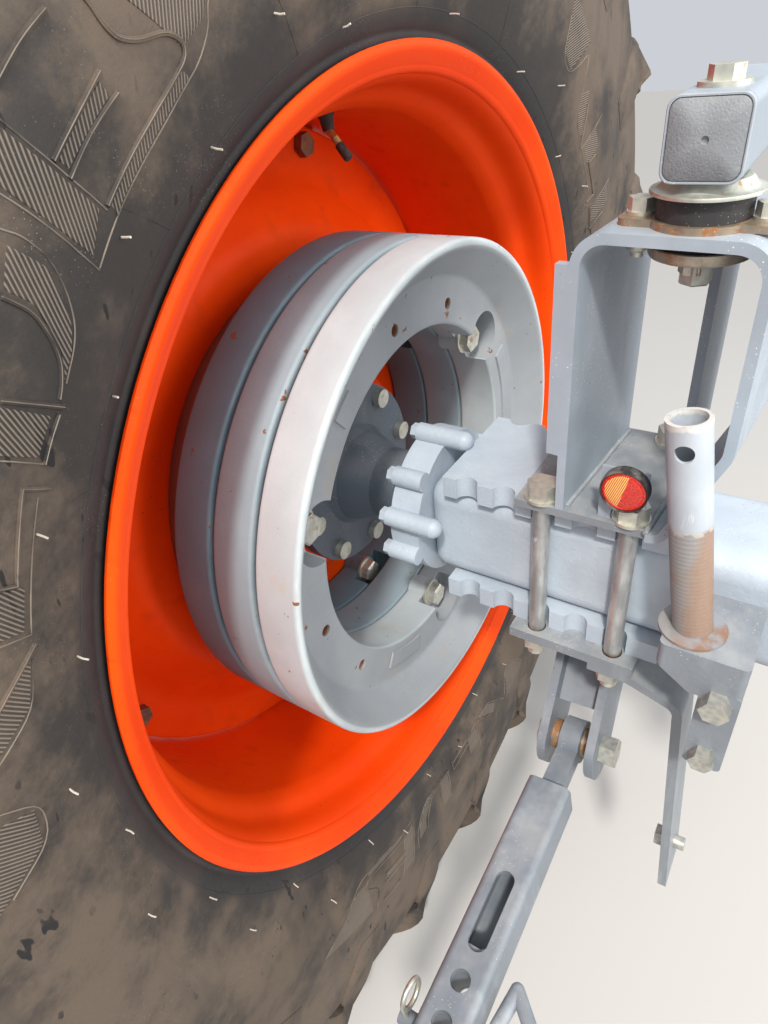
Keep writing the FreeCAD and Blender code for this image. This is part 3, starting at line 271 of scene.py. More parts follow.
def post_paint(name):
    """The post: grey paint, bare at its mouth and round the cross hole, scraped and rusty low down."""
    f = Finish(name)
    along = f.node("ShaderNodeVectorMath", "Value", {0: f.at, 1: POST_UP}, operation="DOT_PRODUCT")
    height = along - POST_FOOT.dot(POST_UP)
    ragged = height + f.noise(70.0, 4.0) * 0.010 - 0.005
    cloud = f.noise(14.0, 4.0)
    fine = f.noise(260.0, 4.0, 0.65)
    paint = f.mix(cloud.step(0.3, 0.8), (0.39, 0.43, 0.48), (0.50, 0.54, 0.585))
    scratches = f.noise(420.0, 2.0, at=f.scaled((1.0, 1.0, 0.10))).step(0.60, 0.66)
    scratches = scratches * f.noise(18.0).step(0.42, 0.6)
    paint = f.mix(scratches * 0.55, paint, (0.62, 0.62, 0.60))
    rings = (height * 1500.0 + f.noise(40.0) * 9.0).math("SINE")
    bare = f.mix(rings.step(-0.4, 0.9) * 0.35, (0.25, 0.245, 0.240), (0.37, 0.365, 0.355))
    orange = f.mix(fine, (0.23, 0.115, 0.065), (0.36, 0.22, 0.135))
    side = (f.y + f.noise(34.0, 3.0) * 0.012).step(0.228, 0.216)
    low = f.mix((side * 0.7 + f.noise(30.0, 4.0).step(0.56, 0.72) * 0.4).math("MINIMUM", 1.0), bare, orange)
    colour = f.mix(ragged.step(0.115, 0.108), paint, low)
    worn = ragged.step(0.197, 0.1998) * f.noise(150.0, 2.0).step(0.30, 0.45)
    colour = f.mix(worn, colour, (0.62, 0.61, 0.58))
    edge = ragged.band(0.108, 0.1125, 0.001) * f.noise(120.0, 2.0).step(0.42, 0.50)
    colour = f.mix(edge * 0.6, colour, (0.50, 0.47, 0.43))
    pad = height.step(0.006, 0.001)
    foot_rust = f.noise(40.0, 4.0).step(0.44, 0.62)
    colour = f.mix(pad, colour, f.mix(foot_rust, (0.26, 0.275, 0.30), (0.25, 0.145, 0.090)))
    return f.done(colour, 0.45 + fine * 0.25, fine * 0.6 + worn * 0.4 + scratches * 0.3, 0.30, 0.0010)


def plated(name, pale, yellow, rusty, shanks=False):
    """Zinc plate: mottled, yellowish where it is fresh and rusty at its edges; long shanks are duller."""
    f = Finish(name)
    mottle = f.cells(190.0, "SMOOTH_F1")
    cloud = f.noise(34.0, 4.0)
    fine = f.noise(420.0, 3.0)
    colour = f.mix(mottle.step(0.1, 0.75), pale, yellow)
    colour = f.mix(cloud.step(0.45, 0.75) * 0.5, colour, tuple(c * 0.45 for c in pale))
    rust = (f.noise(75.0, 5.0, 0.62) + cloud * 0.4).step(0.82 - 0.22 * rusty, 0.98 - 0.22 * rusty)
    colour = f.mix(rust, colour, (0.30, 0.125, 0.04))
    white = f.cells(330.0).step(0.14, 0.09)
    colour = f.mix(white * 0.4, colour, (0.80, 0.79, 0.72))
    if shanks:
        streaks = f.noise(90.0, 4.0, at=f.scaled((1.0, 1.0, 0.25))).step(0.35, 0.7)
        dull = f.mix(streaks, (0.38, 0.39, 0.39), (0.66, 0.67, 0.66))
        dull = f.mix((f.z + f.noise(50.0) * 0.02).step(-0.066, -0.078), dull, (0.24, 0.12, 0.055))
        colour = f.mix(f.z.band(-0.090, 0.080, 0.001), colour, dull)
    return f.done(colour, 0.36 + cloud * 0.2 + rust * 0.3, fine * 0.4 + rust * 0.5, 0.22, 0.0008,
                  metallic=0.75 - rust * 0.7)


def plain_stuff(name, base, light, rough, grain):
    """Rubber and plastics: grained, dusty on top."""
    f = Finish(name)
    cloud = f.noise(30.0, 4.0)
    fine = f.noise(650.0, 3.0)
    colour = f.mix(cloud.step(0.35, 0.8), base, light)
    dust = f.up() * f.noise(60.0, 4.0).step(0.42, 0.7)
    colour = f.mix(dust * 0.5, colour, (0.40, 0.37, 0.33))
    speck = f.cells(380.0).step(0.13, 0.08)
    colour = f.mix(speck * 0.5, colour, (0.55, 0.53, 0.50))
    return f.done(colour, rough + cloud * 0.12, fine, grain, 0.0008)


def lens(name, dark, bright, ribs):
    """Reflector glass: bright, ribbed, in a faceted pattern."""
    f = Finish(name)
    tilt = f.y * 0.94 + f.z * 0.34
    if ribs:
        wave = (tilt * 3900.0).math("SINE")
        colour = f.mix(wave.step(-0.7, 0.5), dark, bright)
        height = wave
    else:
        net = f.cells(820.0)
        colour = f.mix(net.step(0.25, 0.7), bright, dark)
        height = net
    grime = f.noise(210.0, 3.0).step(0.55, 0.72)
    colour = f.mix(grime * 0.35, colour, (0.22, 0.10, 0.05))
    return f.done(colour, 0.22 + grime * 0.3, height, 0.35, 0.0006, coat=0.8)


materials = {
    "tyre": tyre_rubber("tyre_dusty"),
    "tyre_hatched": tyre_rubber("tyre_hatched", hatched=True),
    "tyre_line": tyre_rubber("tyre_rubbed", pale=True),
    "rim": gloss_paint("rim_orange", (0.80, 0.048, 0.0012), (0.90, 0.074, 0.002)),
    # Each weight's worn tone is partly rubbed paint and partly a painted highlight on its outer band.
    "weight_inner": weight_paint("weight_pale", (0.385, 0.432, 0.450), (0.58, 0.62, 0.63), 0.30,
                                 # Painted shade: the darker side tone of the inner weight's dished face.
                                 (0.225, 0.240, 0.258)),
    "weight_middle": weight_paint("weight_grey", (0.220, 0.285, 0.318), (0.35, 0.40, 0.43), 0.10),
    "weight_outer": weight_paint("weight_dark", (0.105, 0.175, 0.215), (0.20, 0.27, 0.31), 0.05),
    "hub": metal_paint("hub_slate", (0.098, 0.120, 0.152), 0.4, 0.4, 0.20, 0.15, (0.18, 0.20, 0.24)),
    "housing": metal_paint("housing_cast", (0.430, 0.495, 0.565), 0.9, 0.45, 0.10, 0.08),
    "bracket": metal_paint("bracket_blue_grey", (0.336, 0.390, 0.449), 0.1, 0.85, 0.10, 0.25),
    "plate": metal_paint("plate_grey", (0.215, 0.240, 0.265), 0.15, 0.6, 0.45, 0.75),
    "stabiliser": metal_paint("stabiliser_grey", (0.180, 0.208, 0.242), 0.15, 0.35, 0.25, 0.2),
    "casting": metal_paint("casting_grey", (0.215, 0.240, 0.272), 0.8, 0.5, 0.35, 0.30),
    "post": post_paint("post_worn"),
    "zinc": plated("zinc_mottled", (0.42, 0.43, 0.42), (0.62, 0.60, 0.50), 0.15),
    "cream": plated("zinc_cream", (0.57, 0.575, 0.52), (0.70, 0.69, 0.60), 0.20),
    "long_bolts": plated("zinc_shanks", (0.57, 0.575, 0.52), (0.70, 0.69, 0.60), 0.1, shanks=True),
    "dish": plated("zinc_dish", (0.42, 0.38, 0.31), (0.50, 0.45, 0.35), 0.42),
    "cup": plated("zinc_cup", (0.55, 0.56, 0.50), (0.66, 0.67, 0.58), 0.0),
    "old_bolts": plated("bolts_browned", (0.16, 0.11, 0.08), (0.24, 0.16, 0.11), 0.6),
    "rust": plain_stuff("thread_rust", (0.16, 0.055, 0.02), (0.36, 0.15, 0.06), 0.8, 0.5),
    "rusty": plated("zinc_rusty", (0.34, 0.27, 0.21), (0.42, 0.33, 0.23), 0.75),
    "rubber": plain_stuff("mount_black", (0.022, 0.022, 0.024), (0.05, 0.048, 0.048), 0.6, 0.25),
    "plastic": plain_stuff("cap_grained", (0.205, 0.218, 0.235), (0.270, 0.285, 0.305), 0.5, 0.6),
    "lens_red": lens("lens_red", (0.42, 0.008, 0.004), (0.86, 0.03, 0.01), False),
    "lens_amber": lens("lens_amber", (0.55, 0.10, 0.015), (0.95, 0.55, 0.16), True),
    "hair": plain_stuff("hair_pale", (0.42, 0.38, 0.33), (0.62, 0.58, 0.52), 0.6, 0.1),
    "brass": plated("brass", (0.50, 0.33, 0.13), (0.62, 0.45, 0.20), 0.0),
    "bracket_pale": metal_paint("bracket_pale", (0.36, 0.40, 0.45), 0.1, 1.0, 0.2, 0.15),
    "weld": metal_paint("weld_grey", (0.25, 0.28, 0.31), 0.6, 1.0, 0.5, 0.5, (0.70, 0.70, 0.66)),
}


def flat_mesh(name, points, faces, smooth_deg=35.0):
    """A mesh from points and faces, smooth except at its sharp edges."""
    mesh = bpy.data.meshes.new(name)
    mesh.from_pydata([tuple(map(float, p)) for p in points], [], [tuple(map(int, f)) for f in faces])
    mesh.validate()
    work = bmesh.new()
    work.from_mesh(mesh)
    bmesh.ops.recalc_face_normals(work, faces=work.faces)
    work.to_mesh(mesh)
    work.free()
    mesh.shade_smooth()
    mesh.set_sharp_from_angle(angle=math.radians(smooth_deg))
    return mesh


def joined(parts):
    """One part of several, each a list of points and one of faces."""
    points, faces = [], []
    for part_points, part_faces in parts:
        start = len(points)
        points.extend(part_points)
        faces.extend([tuple(i + start for i in face) for face in part_faces])
    return points, faces


def piece(name, parts, material, body, stands_for=(), smooth_deg=35.0):
    """Joins parts into one piece that rides on a body."""
    thing = bpy.data.objects.new(name, flat_mesh(name, *joined(parts), smooth_deg))
    bpy.context.scene.collection.objects.link(thing)
    thing.data.materials.append(materials[material])
    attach(thing, body)
    if stands_for:
        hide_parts(*stands_for)


def lathe(outline, steps, closed=True, first=0.0, span=360.0):
    """Turns an outline of radius and distance about the axle."""
    full = span >= 360.0
    rows = steps if full else steps + 1
    points, faces = [], []
    for row in range(rows):
        turn = math.radians(first + span * row / steps)
        out = Vector((math.cos(turn), 0.0, math.sin(turn)))
        points.extend(out * r + OUTBOARD * y for r, y in outline)
    count = len(outline)
    for row in range(steps):
        here, there = row * count, (row + 1) % rows * count
        for k in range(count if closed else count - 1):
            nxt = (k + 1) % count
            faces.append((here + k, here + nxt, there + nxt, there + k))
    return points, faces


def skin(rows, count):
    """The faces of a closed solid whose points are rings of one count, with both ends capped."""
    faces = []
    for start in range(0, (rows - 1) * count, count):
        for k in range(count):
            a, b = start + k, start + (k + 1) % count
            faces.append((a, b, b + count, a + count))
    return faces + [tuple(range(count)), tuple(reversed(range((rows - 1) * count, rows * count)))]


def rounded_outline(corners, radius, bits):
    """Cuts the corners of a closed outline to arcs."""
    result = []
    for here, corner in enumerate(corners):
        before, after = Vector(corners[here - 1]), Vector(corners[(here + 1) % len(corners)])
        point = Vector(corner)
        one, two = before - point, after - point
        cut = min(radius, one.length * 0.45, two.length * 0.45)
        start, end = point + one.normalized() * cut, point + two.normalized() * cut
        for bit in range(bits + 1):
            t = bit / bits
            result.append(tuple(start * (1 - t) ** 2 + point * (2 * t * (1 - t)) + end * t ** 2))
    return result


def sweep(path, section, normals):
    """Sweeps a closed section of sideways and outward distances along a path."""
    points = []
    for k, at in enumerate(path):
        along = (path[min(k + 1, len(path) - 1)] - path[max(k - 1, 0)]).normalized()
        side = along.cross(normals[k]).normalized()
        out = side.cross(along)
        points.extend(at + side * a + out * b for a, b in section)
    return points, skin(len(path), len(section))


def ring_section(radius, count):
    return [(radius * math.cos(2 * math.pi * k / count), radius * math.sin(2 * math.pi * k / count))
            for k in range(count)]


def on_wheel(radius, degrees, y):
    turn = math.radians(degrees)
    return Vector((radius * math.cos(turn), y, radius * math.sin(turn)))


# Tyre: the wall's outline and the lugs' outline run side by side, from the crown to the wall
BULGE_Y, BULGE_SHARE = 0.955, 0.76    # past this the outboard wall bulges less than the inboard one
WIDEST_Y = 0.9703                     # the lugs end here outboard
LUG_ANGLE = math.radians(43)
LUG_STEPS = 30
WALL = [(778.5, 211), (777.5, 125), (774, 70), (769, 32), (764, 12), (757, -2), (745, -9.5), (715, -13.5),
        (680, -17), (645, -19.5), (618, -21), (592, -21.6), (566, -20.8), (540, -17.5), (515, -12.5),
        (494, -6), (480, -1), (471, 3.0), (464.5, 7.6)]
TOPS = [(822.5, 211), (821.5, 140), (819.5, 90), (815, 45), (808, 18), (796, 3), (778.5, -9), (742, -16),
        (704, -20.0), (670, -21.8), (645, -20.2)]


def smooth_line(points, steps):
    """A smooth curve through points, evenly stepped."""
    given = np.array(points, float)
    far = np.concatenate([[0], np.cumsum(np.hypot(*np.diff(given, axis=0).T))])
    spots = np.linspace(0, far[-1], steps)
    result = []
    for spot in spots:
        k = min(max(int(np.searchsorted(far, spot)) - 1, 0), len(given) - 2)
        t = (spot - far[k]) / (far[k + 1] - far[k])
        p0, p1, p2, p3 = given[max(k - 1, 0)], given[k], given[k + 1], given[min(k + 2, len(given) - 1)]
        result.append(0.5 * (2 * p1 + (p2 - p0) * t + (2 * p0 - 5 * p1 + 4 * p2 - p3) * t * t
                             + (3 * p1 - p0 - 3 * p2 + p3) * t ** 3))
    return [(p[0] / 1000.0, p[1] / 1000.0) for p in result]


def outboard(y):
    """A wall's distance mirrored to the outboard side, where the bulge is a little flatter."""
    far = 2 * MID_Y - y
    return min(far, BULGE_Y + (far - BULGE_Y) * BULGE_SHARE)


def wall_at(radius):
    """Distance of the inboard wall from the lip's plane, at a radius in metres."""
    table = sorted((r / 1000.0, y / 1000.0) for r, y in WALL[6:])
    return float(np.interp(radius, [r for r, _ in table], [y for _, y in table]))


def tyre_casing():
    """The casing's skin, inside out to the beads, with a moulded ring beside the rim."""
    half = smooth_line(WALL, 44)
    ring = [(0.4632, 0.0088), (0.4612, 0.0090), (0.4590, 0.0085), (0.452, 0.012), (0.444, 0.020),
            (0.437, 0.032), (0.434, 0.046), (0.470, 0.062)]
    inside = [(0.56, 0.012), (0.66, 0.010), (0.74, 0.045), (0.748, HALF_WIDTH)]
    near = half + ring + inside
    points = [(r, LIP_Y + y) for r, y in near]
    points += [(r, outboard(LIP_Y + y)) for r, y in reversed(near[1:-1])]
    return lathe(points, 176)


def lug(turn_deg, side):
    """One lug: from the middle of the crown slanting out to the shoulder, then down the wall."""
    low, top = smooth_line(WALL[:10], LUG_STEPS), smooth_line(TOPS, LUG_STEPS)
    path, tops, widths = [], [], []
    for (low_r, low_y), (top_r, top_y) in zip(low, top):
        out = max(0.0, min(1.0, (HALF_WIDTH - low_y) / HALF_WIDTH))
        turn = turn_deg + math.degrees(HALF_WIDTH * out * math.tan(LUG_ANGLE) / TYRE_R)
        for row, r, y in ((path, low_r, low_y), (tops, top_r, top_y)):
            row.append(on_wheel(r, turn, LIP_Y + y if side < 0 else outboard(LIP_Y + y)))
        widths.append(0.046 + 0.018 * out if low_r > 0.72 else 0.064 - 0.020 * (0.72 - low_r) / 0.075)
    points = []
    for k in range(LUG_STEPS):
        along = (path[min(k + 1, LUG_STEPS - 1)] - path[max(k - 1, 0)]).normalized()
        tall = max((tops[k] - path[k]).length, 0.0004)
        normal = Vector((path[k].x, 0, path[k].z)).normalized()
        if low[k][0] < 0.765:
            blend = min(1.0, (0.765 - low[k][0]) / 0.03)
            normal = (normal * (1 - blend) + Vector((0, side, 0)) * blend).normalized()
        across = along.cross(normal).normalized()
        half, draft, edge = widths[k] / 2, 0.22 * tall, min(0.004, tall * 0.3)
        sunk, peak = path[k] - normal * 0.008, tops[k]
        points += [sunk + across * -(half + draft + 0.004), path[k] + across * -(half + draft),
                   peak - normal * edge + across * -(half + 0.001), peak + across * -(half - edge),
                   peak + across * (half - edge), peak - normal * edge + across * (half + 0.001),
                   path[k] + across * (half + draft), sunk + across * (half + draft + 0.004)]
    return [Vector((p.x, min(p.y, WIDEST_Y), p.z)) for p in points], skin(LUG_STEPS, 8)


def on_wall(radius, degrees, lift, side=-1):
    """A point on the tyre's wall, lifted off it."""
    y = LIP_Y + wall_at(radius) - lift
    return on_wheel(radius, degrees, y if side < 0 else outboard(y))


MM_PER_DEGREE = 9.4      # along the wall, at the middle of the relief


def along_wall(spots, pace=0.004):
    """Adds spots between spots of radius in millimetres and angle, so that a line follows the wall."""
    result = []
    for (r0, a0), (r1, a1) in zip(spots, spots[1:]):
        r0, r1 = r0 / 1000.0, r1 / 1000.0
        far = math.hypot(r1 - r0, r0 * math.radians(a1 - a0))
        count = max(1, int(far / pace))
        result += [(r0 + (r1 - r0) * k / count, a0 + (a1 - a0) * k / count) for k in range(count)]
    return result + [(spots[-1][0] / 1000.0, spots[-1][1])]


def curved(spots):
    """Rounds the turns of a line of spots, except where it turns sharply."""
    result = [spots[0]]
    for before, here, after in zip(spots, spots[1:], spots[2:]):
        one = Vector((before[0] - here[0], (before[1] - here[1]) * MM_PER_DEGREE))
        two = Vector((after[0] - here[0], (after[1] - here[1]) * MM_PER_DEGREE))
        if one.length < 1e-6 or two.length < 1e-6 or one.angle(two) < math.radians(95):
            result.append(here)
            continue
        start = [h + (b - h) * 0.42 for h, b in zip(here, before)]
        end = [h + (a - h) * 0.42 for h, a in zip(here, after)]
        for t in (0.0, 0.25, 0.5, 0.75, 1.0):
            result.append(tuple(s * (1 - t) ** 2 + h * 2 * t * (1 - t) + e * t * t
                                for s, h, e in zip(start, here, end)))
    return result + [spots[-1]]


def wall_line(spots, side, wide, tall):
    """A thin raised line along spots on the wall."""
    path = [on_wall(r, a, 0.0, side) for r, a in along_wall(curved(spots))]
    normals = [Vector((0, side, 0))] * len(path)
    section = [(-wide, -0.002), (-wide * 0.7, tall * 0.75), (0, tall), (wide * 0.7, tall * 0.75),
               (wide, -0.002)]
    return sweep(path, section, normals)


def wall_panel(inner, outer, side, lift=0.0006, rows=12, columns=24):
    """A field between two lines on the wall, raised a little over it."""
    def spot(line, t):
        place = t * (len(line) - 1)
        k = min(int(place), len(line) - 2)
        return [a + (b - a) * (place - k) for a, b in zip(line[k], line[k + 1])]

    points, faces = [], []
    for row in range(rows + 1):
        for column in range(columns + 1):
            near, far = spot(inner, column / columns), spot(outer, column / columns)
            r, a = (n + (f - n) * row / rows for n, f in zip(near, far))
            edge = row in (0, rows) or column in (0, columns)
            points.append(on_wall(r / 1000.0, a, -0.001 if edge else lift, side))
    for row in range(rows):
        for column in range(columns):
            a = row * (columns + 1) + column
            faces.append((a, a + 1, a + columns + 2, a + columns + 1))
    return points, faces


# Relief of the wall, which fills a sixth of a turn: radius in millimetres and angle in degrees
THICK_LINES = [
    [(600, 7), (585, 6.7), (575, 6.8), (566, 6.6), (557, 5.5), (549, 3.5), (539, 2.7), (532, 3.1),
     (530, 4.9), (529, 7.7), (529, 10.4), (528, 13.6)],
    [(565, 8.6), (564, 10.8), (564, 13.9)],
    [(552, 8.5), (554, 11.3), (553, 14.0)],
    [(597, 8.8), (599, 10.7), (599, 13.0)],
    [(564, 21.0), (546, 21.0), (531, 22.0), (522, 23.0), (518, 24.2), (517, 25.1)],
    [(551, 25.9), (513, 25.5)],
    [(515, 26.0), (517, 27.6), (518, 29.1)],
    [(512, 30.6), (530, 30.6), (529, 33.5), (528, 36.5), (545, 36.3)],
    [(516, 40.8), (528, 42.4), (548, 44.7)],
]
THIN_LINES = [
    [(560, -3.4), (543, -0.4), (532, 0.3), (524, 2.1), (522, 4.4), (520, 7.1), (520, 13.1), (517, 16.9)],
    [(590, 18.4), (574, 18.2), (564, 17.9), (547, 18.1), (532, 19.1), (521, 20.4), (516, 21.8), (515, 24.1)],
    [(518, 29.1), (545, 29.0), (580, 29.2)],
    [(519, 31.1), (519, 35.1), (518, 40.1), (538, 40.0), (580, 39.8)],
    [(518, 41.8), (520, 45.4), (545, 47.6), (575, 49.8)],
    [(570, 50.2), (552, 51.0), (528, 52.7), (530, 55.9), (564, 57.6)],
    [(600, 14.1), (563, 14.0), (527, 13.8)],
    [(600, 16.9), (557, 16.7), (517, 17.0)],
]
HATCHED = [
    ([(545, -0.8), (534, 0.6), (533, 2.9), (549, 3.5)], [(600, -6.0), (600, -1.0), (600, 3.0), (600, 6.6)]),
    ([(523, 3.0), (521, 7.0), (520, 13.1), (518, 13.7)], [(531, 3.3), (528, 7.7), (528, 10.4), (527, 13.6)]),
    ([(554, 8.8), (555, 13.8)], [(563, 8.8), (563, 13.8)]),
    ([(527, 14.0), (518, 16.6)], [(600, 14.3), (600, 16.6)]),
    ([(573, 18.6), (548, 18.4), (533, 19.4), (522, 20.6), (517, 22.0), (516, 24.1)],
     [(566, 20.8), (547, 20.8), (533, 21.7), (523, 22.6), (519, 23.8), (518, 24.6)]),
    ([(516, 26.1), (519, 28.8)], [(575, 26.2), (575, 28.9)]),
    ([(520, 36.6), (520, 39.8)], [(560, 36.5), (560, 39.7)]),
    ([(519, 41.9), (521, 45.2), (545, 47.3)], [(522, 41.8), (540, 43.9), (560, 45.9)]),
    ([(530, 52.8), (532, 55.7)], [(590, 50.0), (590, 59.0)]),
]


def wall_relief():
    """The relief's fields and lines, three times round both walls."""
    def placed(line):
        return [(r, base + a) for r, a in line]

    fields, ridges, lines = [], [], []
    for side, first in ((-1, 116.0), (1, 140.0)):
        for base in (first, first + 120.0, first + 240.0):
            fields += [wall_panel(placed(inner), placed(outer), side) for inner, outer in HATCHED]
            ridges += [wall_line(placed(line), side, 0.0020, 0.0017) for line in THICK_LINES]
            lines += [wall_line(placed(line), side, 0.0005, 0.0021) for line in THICK_LINES]
            lines += [wall_line(placed(line), side, 0.0006, 0.0008) for line in THIN_LINES]
    return fields, ridges, lines


def wall_seams():
    """Fine mould lines: a ring and short spokes."""
    seams = []
    for side in (-1, 1):
        seams.append(wall_line([(478, 0), (478, 120), (478, 240), (478, 360)], side, 0.0005, 0.0004))
        for step in range(18):
            seams.append(wall_line([(478, step * 20.0 + 7), (520, step * 20.0 + 9)], side, 0.0005, 0.0004))
    return seams


def vent_hairs():
    """Rubber hairs left by the mould, standing off the wall every ten degrees."""
    hairs = []
    for side in (-1, 1):
        for step in range(36):
            degrees = step * 10.0 + rng.uniform(-0.6, 0.6)
            radius = (0.508 if step % 2 else 0.474) + rng.choice((0.0, 0.003, 0.009 if side < 0 else 0.0))
            start = on_wall(radius, degrees, -0.001, side)
            outward = on_wheel(1.0, degrees, 0)
            lean = (Vector((0, side, 0)) + outward * rng.uniform(-0.35, 0.25)).normalized()
            length = rng.uniform(0.008, 0.011) * (1.0 if side < 0 else 0.8)
            middle = start + lean * length * 0.6
            end = middle + (lean + outward * rng.uniform(-0.3, 0.3)).normalized() * length * 0.4
            hairs.append(sweep([start, middle, end], ring_section(0.0007, 6), [outward] * 3))
    return hairs


casing = [tyre_casing()]
for step in range(LUGS):
    casing.append(lug(360.0 * step / LUGS, -1))
    casing.append(lug(360.0 * (step + 0.5) / LUGS, 1))
piece("tyre_with_lugs", casing, "tyre", "wheel", ("tyre",), 40.0)
fields, ridges, lines = wall_relief()
for name, parts, finish in (("wall_fields", fields, "tyre_hatched"), ("wall_ridges", ridges, "tyre"),
                            ("wall_lines", lines, "tyre_line"), ("mould_seams", wall_seams(), "tyre"),
                            ("mould_hairs", vent_hairs(), "hair")):
    piece(name, parts, finish, "wheel")

# Rim: both flanges curl out, the seats step down to the well
RIM_OUT = [(457.2, 3.2), (456.8, 6.2), (452.0, 8.0), (441.0, 8.4), (434.5, 11.0), (432.2, 16.0),
           (430.4, 48.0), (429.0, 52.0), (423.0, 58.0), (417.0, 70.0), (415.3, 80.0)]
RIM_IN = [(408.2, 84.0), (409.0, 76.0), (413.5, 66.0), (416.5, 60.0), (421.5, 54.0), (424.6, 46.0),
          (425.8, 36.0), (427.5, 26.0), (431.0, 18.0), (435.5, 12.0), (440.5, 7.5), (445.5, 4.0),
          (448.6, 1.6), (450.6, 0.5), (454.8, 0.9)]


def rim_profile():
    """The closed outline of the rim's sheet, with its outboard half mirrored."""
    out = [(r / 1000.0, LIP_Y + y / 1000.0) for r, y in RIM_OUT]
    out += [(r, 2 * MID_Y - y) for r, y in reversed(out)]
    back = [(r / 1000.0, LIP_Y + y / 1000.0) for r, y in RIM_IN]
    return out + [(r, 2 * MID_Y - y) for r, y in reversed(back)] + back


piece("rim_rolled", [lathe(rim_profile(), 200)], "rim", "wheel", ("rim",), 50.0)


def axle_frame(axis, side):
    """The matrix that takes local X, Y and Z to a side, its other side and an axis."""
    axis = axis.normalized()
    side = (side - axis * side.dot(axis)).normalized()
    return Matrix((side, axis.cross(side), axis)).transposed()


def turned_piece(outline, steps, origin, axis, side=ANY_SIDE, first=0.0, span=360.0):
    """Turns an outline of radius and distance about any line."""
    points, faces = lathe(outline, steps, False, first, span)
    frame_of = axle_frame(axis, side)
    return [origin + frame_of @ Vector((p.x, p.z, p.y)) for p in points], faces


def spindle(stations, origin, axis, steps, side=ANY_SIDE):
    """A closed solid along an axis through stations of distance and radius."""
    frame_of = axle_frame(axis, side)
    points = []
    for far, radius in stations:
        for k in range(steps):
            turn = 2 * math.pi * k / steps
            points.append(origin + frame_of @ Vector((radius * math.cos(turn), radius * math.sin(turn), far)))
    return points, skin(len(stations), steps)


# Valve: rubber boot, brass stem with thread, black cap
VALVE_TURN = 79.0
valve_foot = on_wheel(0.408, VALVE_TURN, LIP_Y + 0.150)
valve_neck = on_wheel(0.392, VALVE_TURN, LIP_Y + 0.146)
valve_tip = on_wheel(0.362, VALVE_TURN, LIP_Y + 0.1185)
stem_line = (valve_tip - valve_neck).normalized()
stem = [(0.0, -0.002), (0.0040, -0.002), (0.0040, 0.012)]
for thread in range(7):
    stem += [(0.0042, 0.0125 + thread * 0.0011), (0.0036, 0.0130 + thread * 0.0011)]
stem += [(0.0040, 0.022), (0.0, 0.022)]
cap = [(0.0, 0.0205), (0.0049, 0.0205), (0.0052, 0.0215), (0.0050, 0.0360), (0.0042, 0.0385), (0.0, 0.0390)]
boot = [(0.0, 0.0), (0.0098, 0.0), (0.0095, 0.003), (0.0078, 0.006), (0.0070, 0.012), (0.0062, 0.018),
        (0.0, 0.019)]
boot = turned_piece(boot, 24, valve_foot, valve_neck - valve_foot)
piece("valve_boot", [boot], "rubber", "wheel", ("valve",))
piece("valve_stem", [turned_piece(stem, 20, valve_neck, stem_line)], "brass", "wheel")
piece("valve_cap", [turned_piece(cap, 20, valve_neck, stem_line)], "rubber", "wheel")

# Cab mount's upper cup: a thin wide lip and a raised middle
MOUNT = Vector((-0.050, 0.266, 0.336))    # on the bracket's top
cup = [(0.008, 0.0), (0.0368, 0.0), (0.0370, 0.0012), (0.0366, 0.0024), (0.0330, 0.0030), (0.0305, 0.0042),
       (0.0285, 0.0075), (0.0265, 0.0095), (0.008, 0.0098)]
piece("cup_pressed", [turned_piece(cup, 56, MOUNT + UP * 0.021, UP)], "cup", "root",
      ("mount_upper_cup",))

# Reflector: black shell, amber half outboard and red half inboard under one low dome
REFLECTOR = Vector((-0.079, 0.2855, 0.128))
tilt = Vector((0, 1.0, 0.24))
shell = [(0.0, 0.0), (0.0205, 0.0), (0.0205, 0.0105), (0.0198, 0.0118), (0.0190, 0.0112), (0.0188, 0.0085),
         (0.0, 0.0080)]
dome = [(0.0187, 0.0086)] + [(0.0186 * math.cos(math.radians(a)), 0.0090 + 0.0026 * math.sin(math.radians(a)))
                             for a in range(10, 91, 10)]
border = [(0.0188, 0.0088), (0.0187, 0.0100), (0.0168, 0.0109), (0.0160, 0.0104)]
piece("reflector_shell", [turned_piece(shell, 48, REFLECTOR, REAR)], "rubber", "root",
      ("reflector",))
for half, first in (("red", 90.0), ("amber", -90.0)):
    piece("reflector_" + half, [turned_piece(dome, 24, REFLECTOR, REAR, tilt, first, 180.0)], "lens_" + half,
          "root")
piece("reflector_border", [turned_piece(border, 48, REFLECTOR, REAR, tilt)], "lens_red", "root")


def rounded_square(half, corner):
    """A square outline with round corners."""
    spots, bits = [], 6
    for turn in range(4):
        centre = ((half - corner) * (1 if turn in (0, 3) else -1), (half - corner) * (1 if turn < 2 else -1))
        for bit in range(bits + 1):
            angle = math.radians(90 * turn + 90 * bit / bits)
            spots.append((centre[0] + corner * math.cos(angle), centre[1] + corner * math.sin(angle)))
    return spots


# The foot tube's mouth: a thin metal edge round the grained cap, with its small centre hole
FOOT = Vector((-0.081, 0.266, 0.392))
MOUTH = ((0.0, 0.0249, 0.0080), (-0.0032, 0.0249, 0.0080), (-0.0038, 0.0243, 0.0076),
         (-0.0038, 0.0234, 0.0070), (-0.0020, 0.0231, 0.0068))
PLUG = ((0.004, 0.0229, 0.0066), (-0.0032, 0.0229, 0.0066), (-0.0040, 0.0222, 0.0062),
        (-0.0040, 0.0024, 0.0023), (-0.0022, 0.0018, 0.0017))


def foot_rings(rings):
    """A solid in the foot tube's mouth, through rings of distance, half width and corner."""
    points = [Vector((FOOT.x + x, FOOT.y + y, FOOT.z + z))
              for x, half, corner in rings for y, z in rounded_square(half, corner)]
    return points, skin(len(rings), len(points) // len(rings))


piece("foot_mouth", [foot_rings(MOUTH)], "bracket_pale", "root")
piece("foot_plug", [foot_rings(PLUG)], "plastic", "root", ("cab_foot_cap",), 50.0)


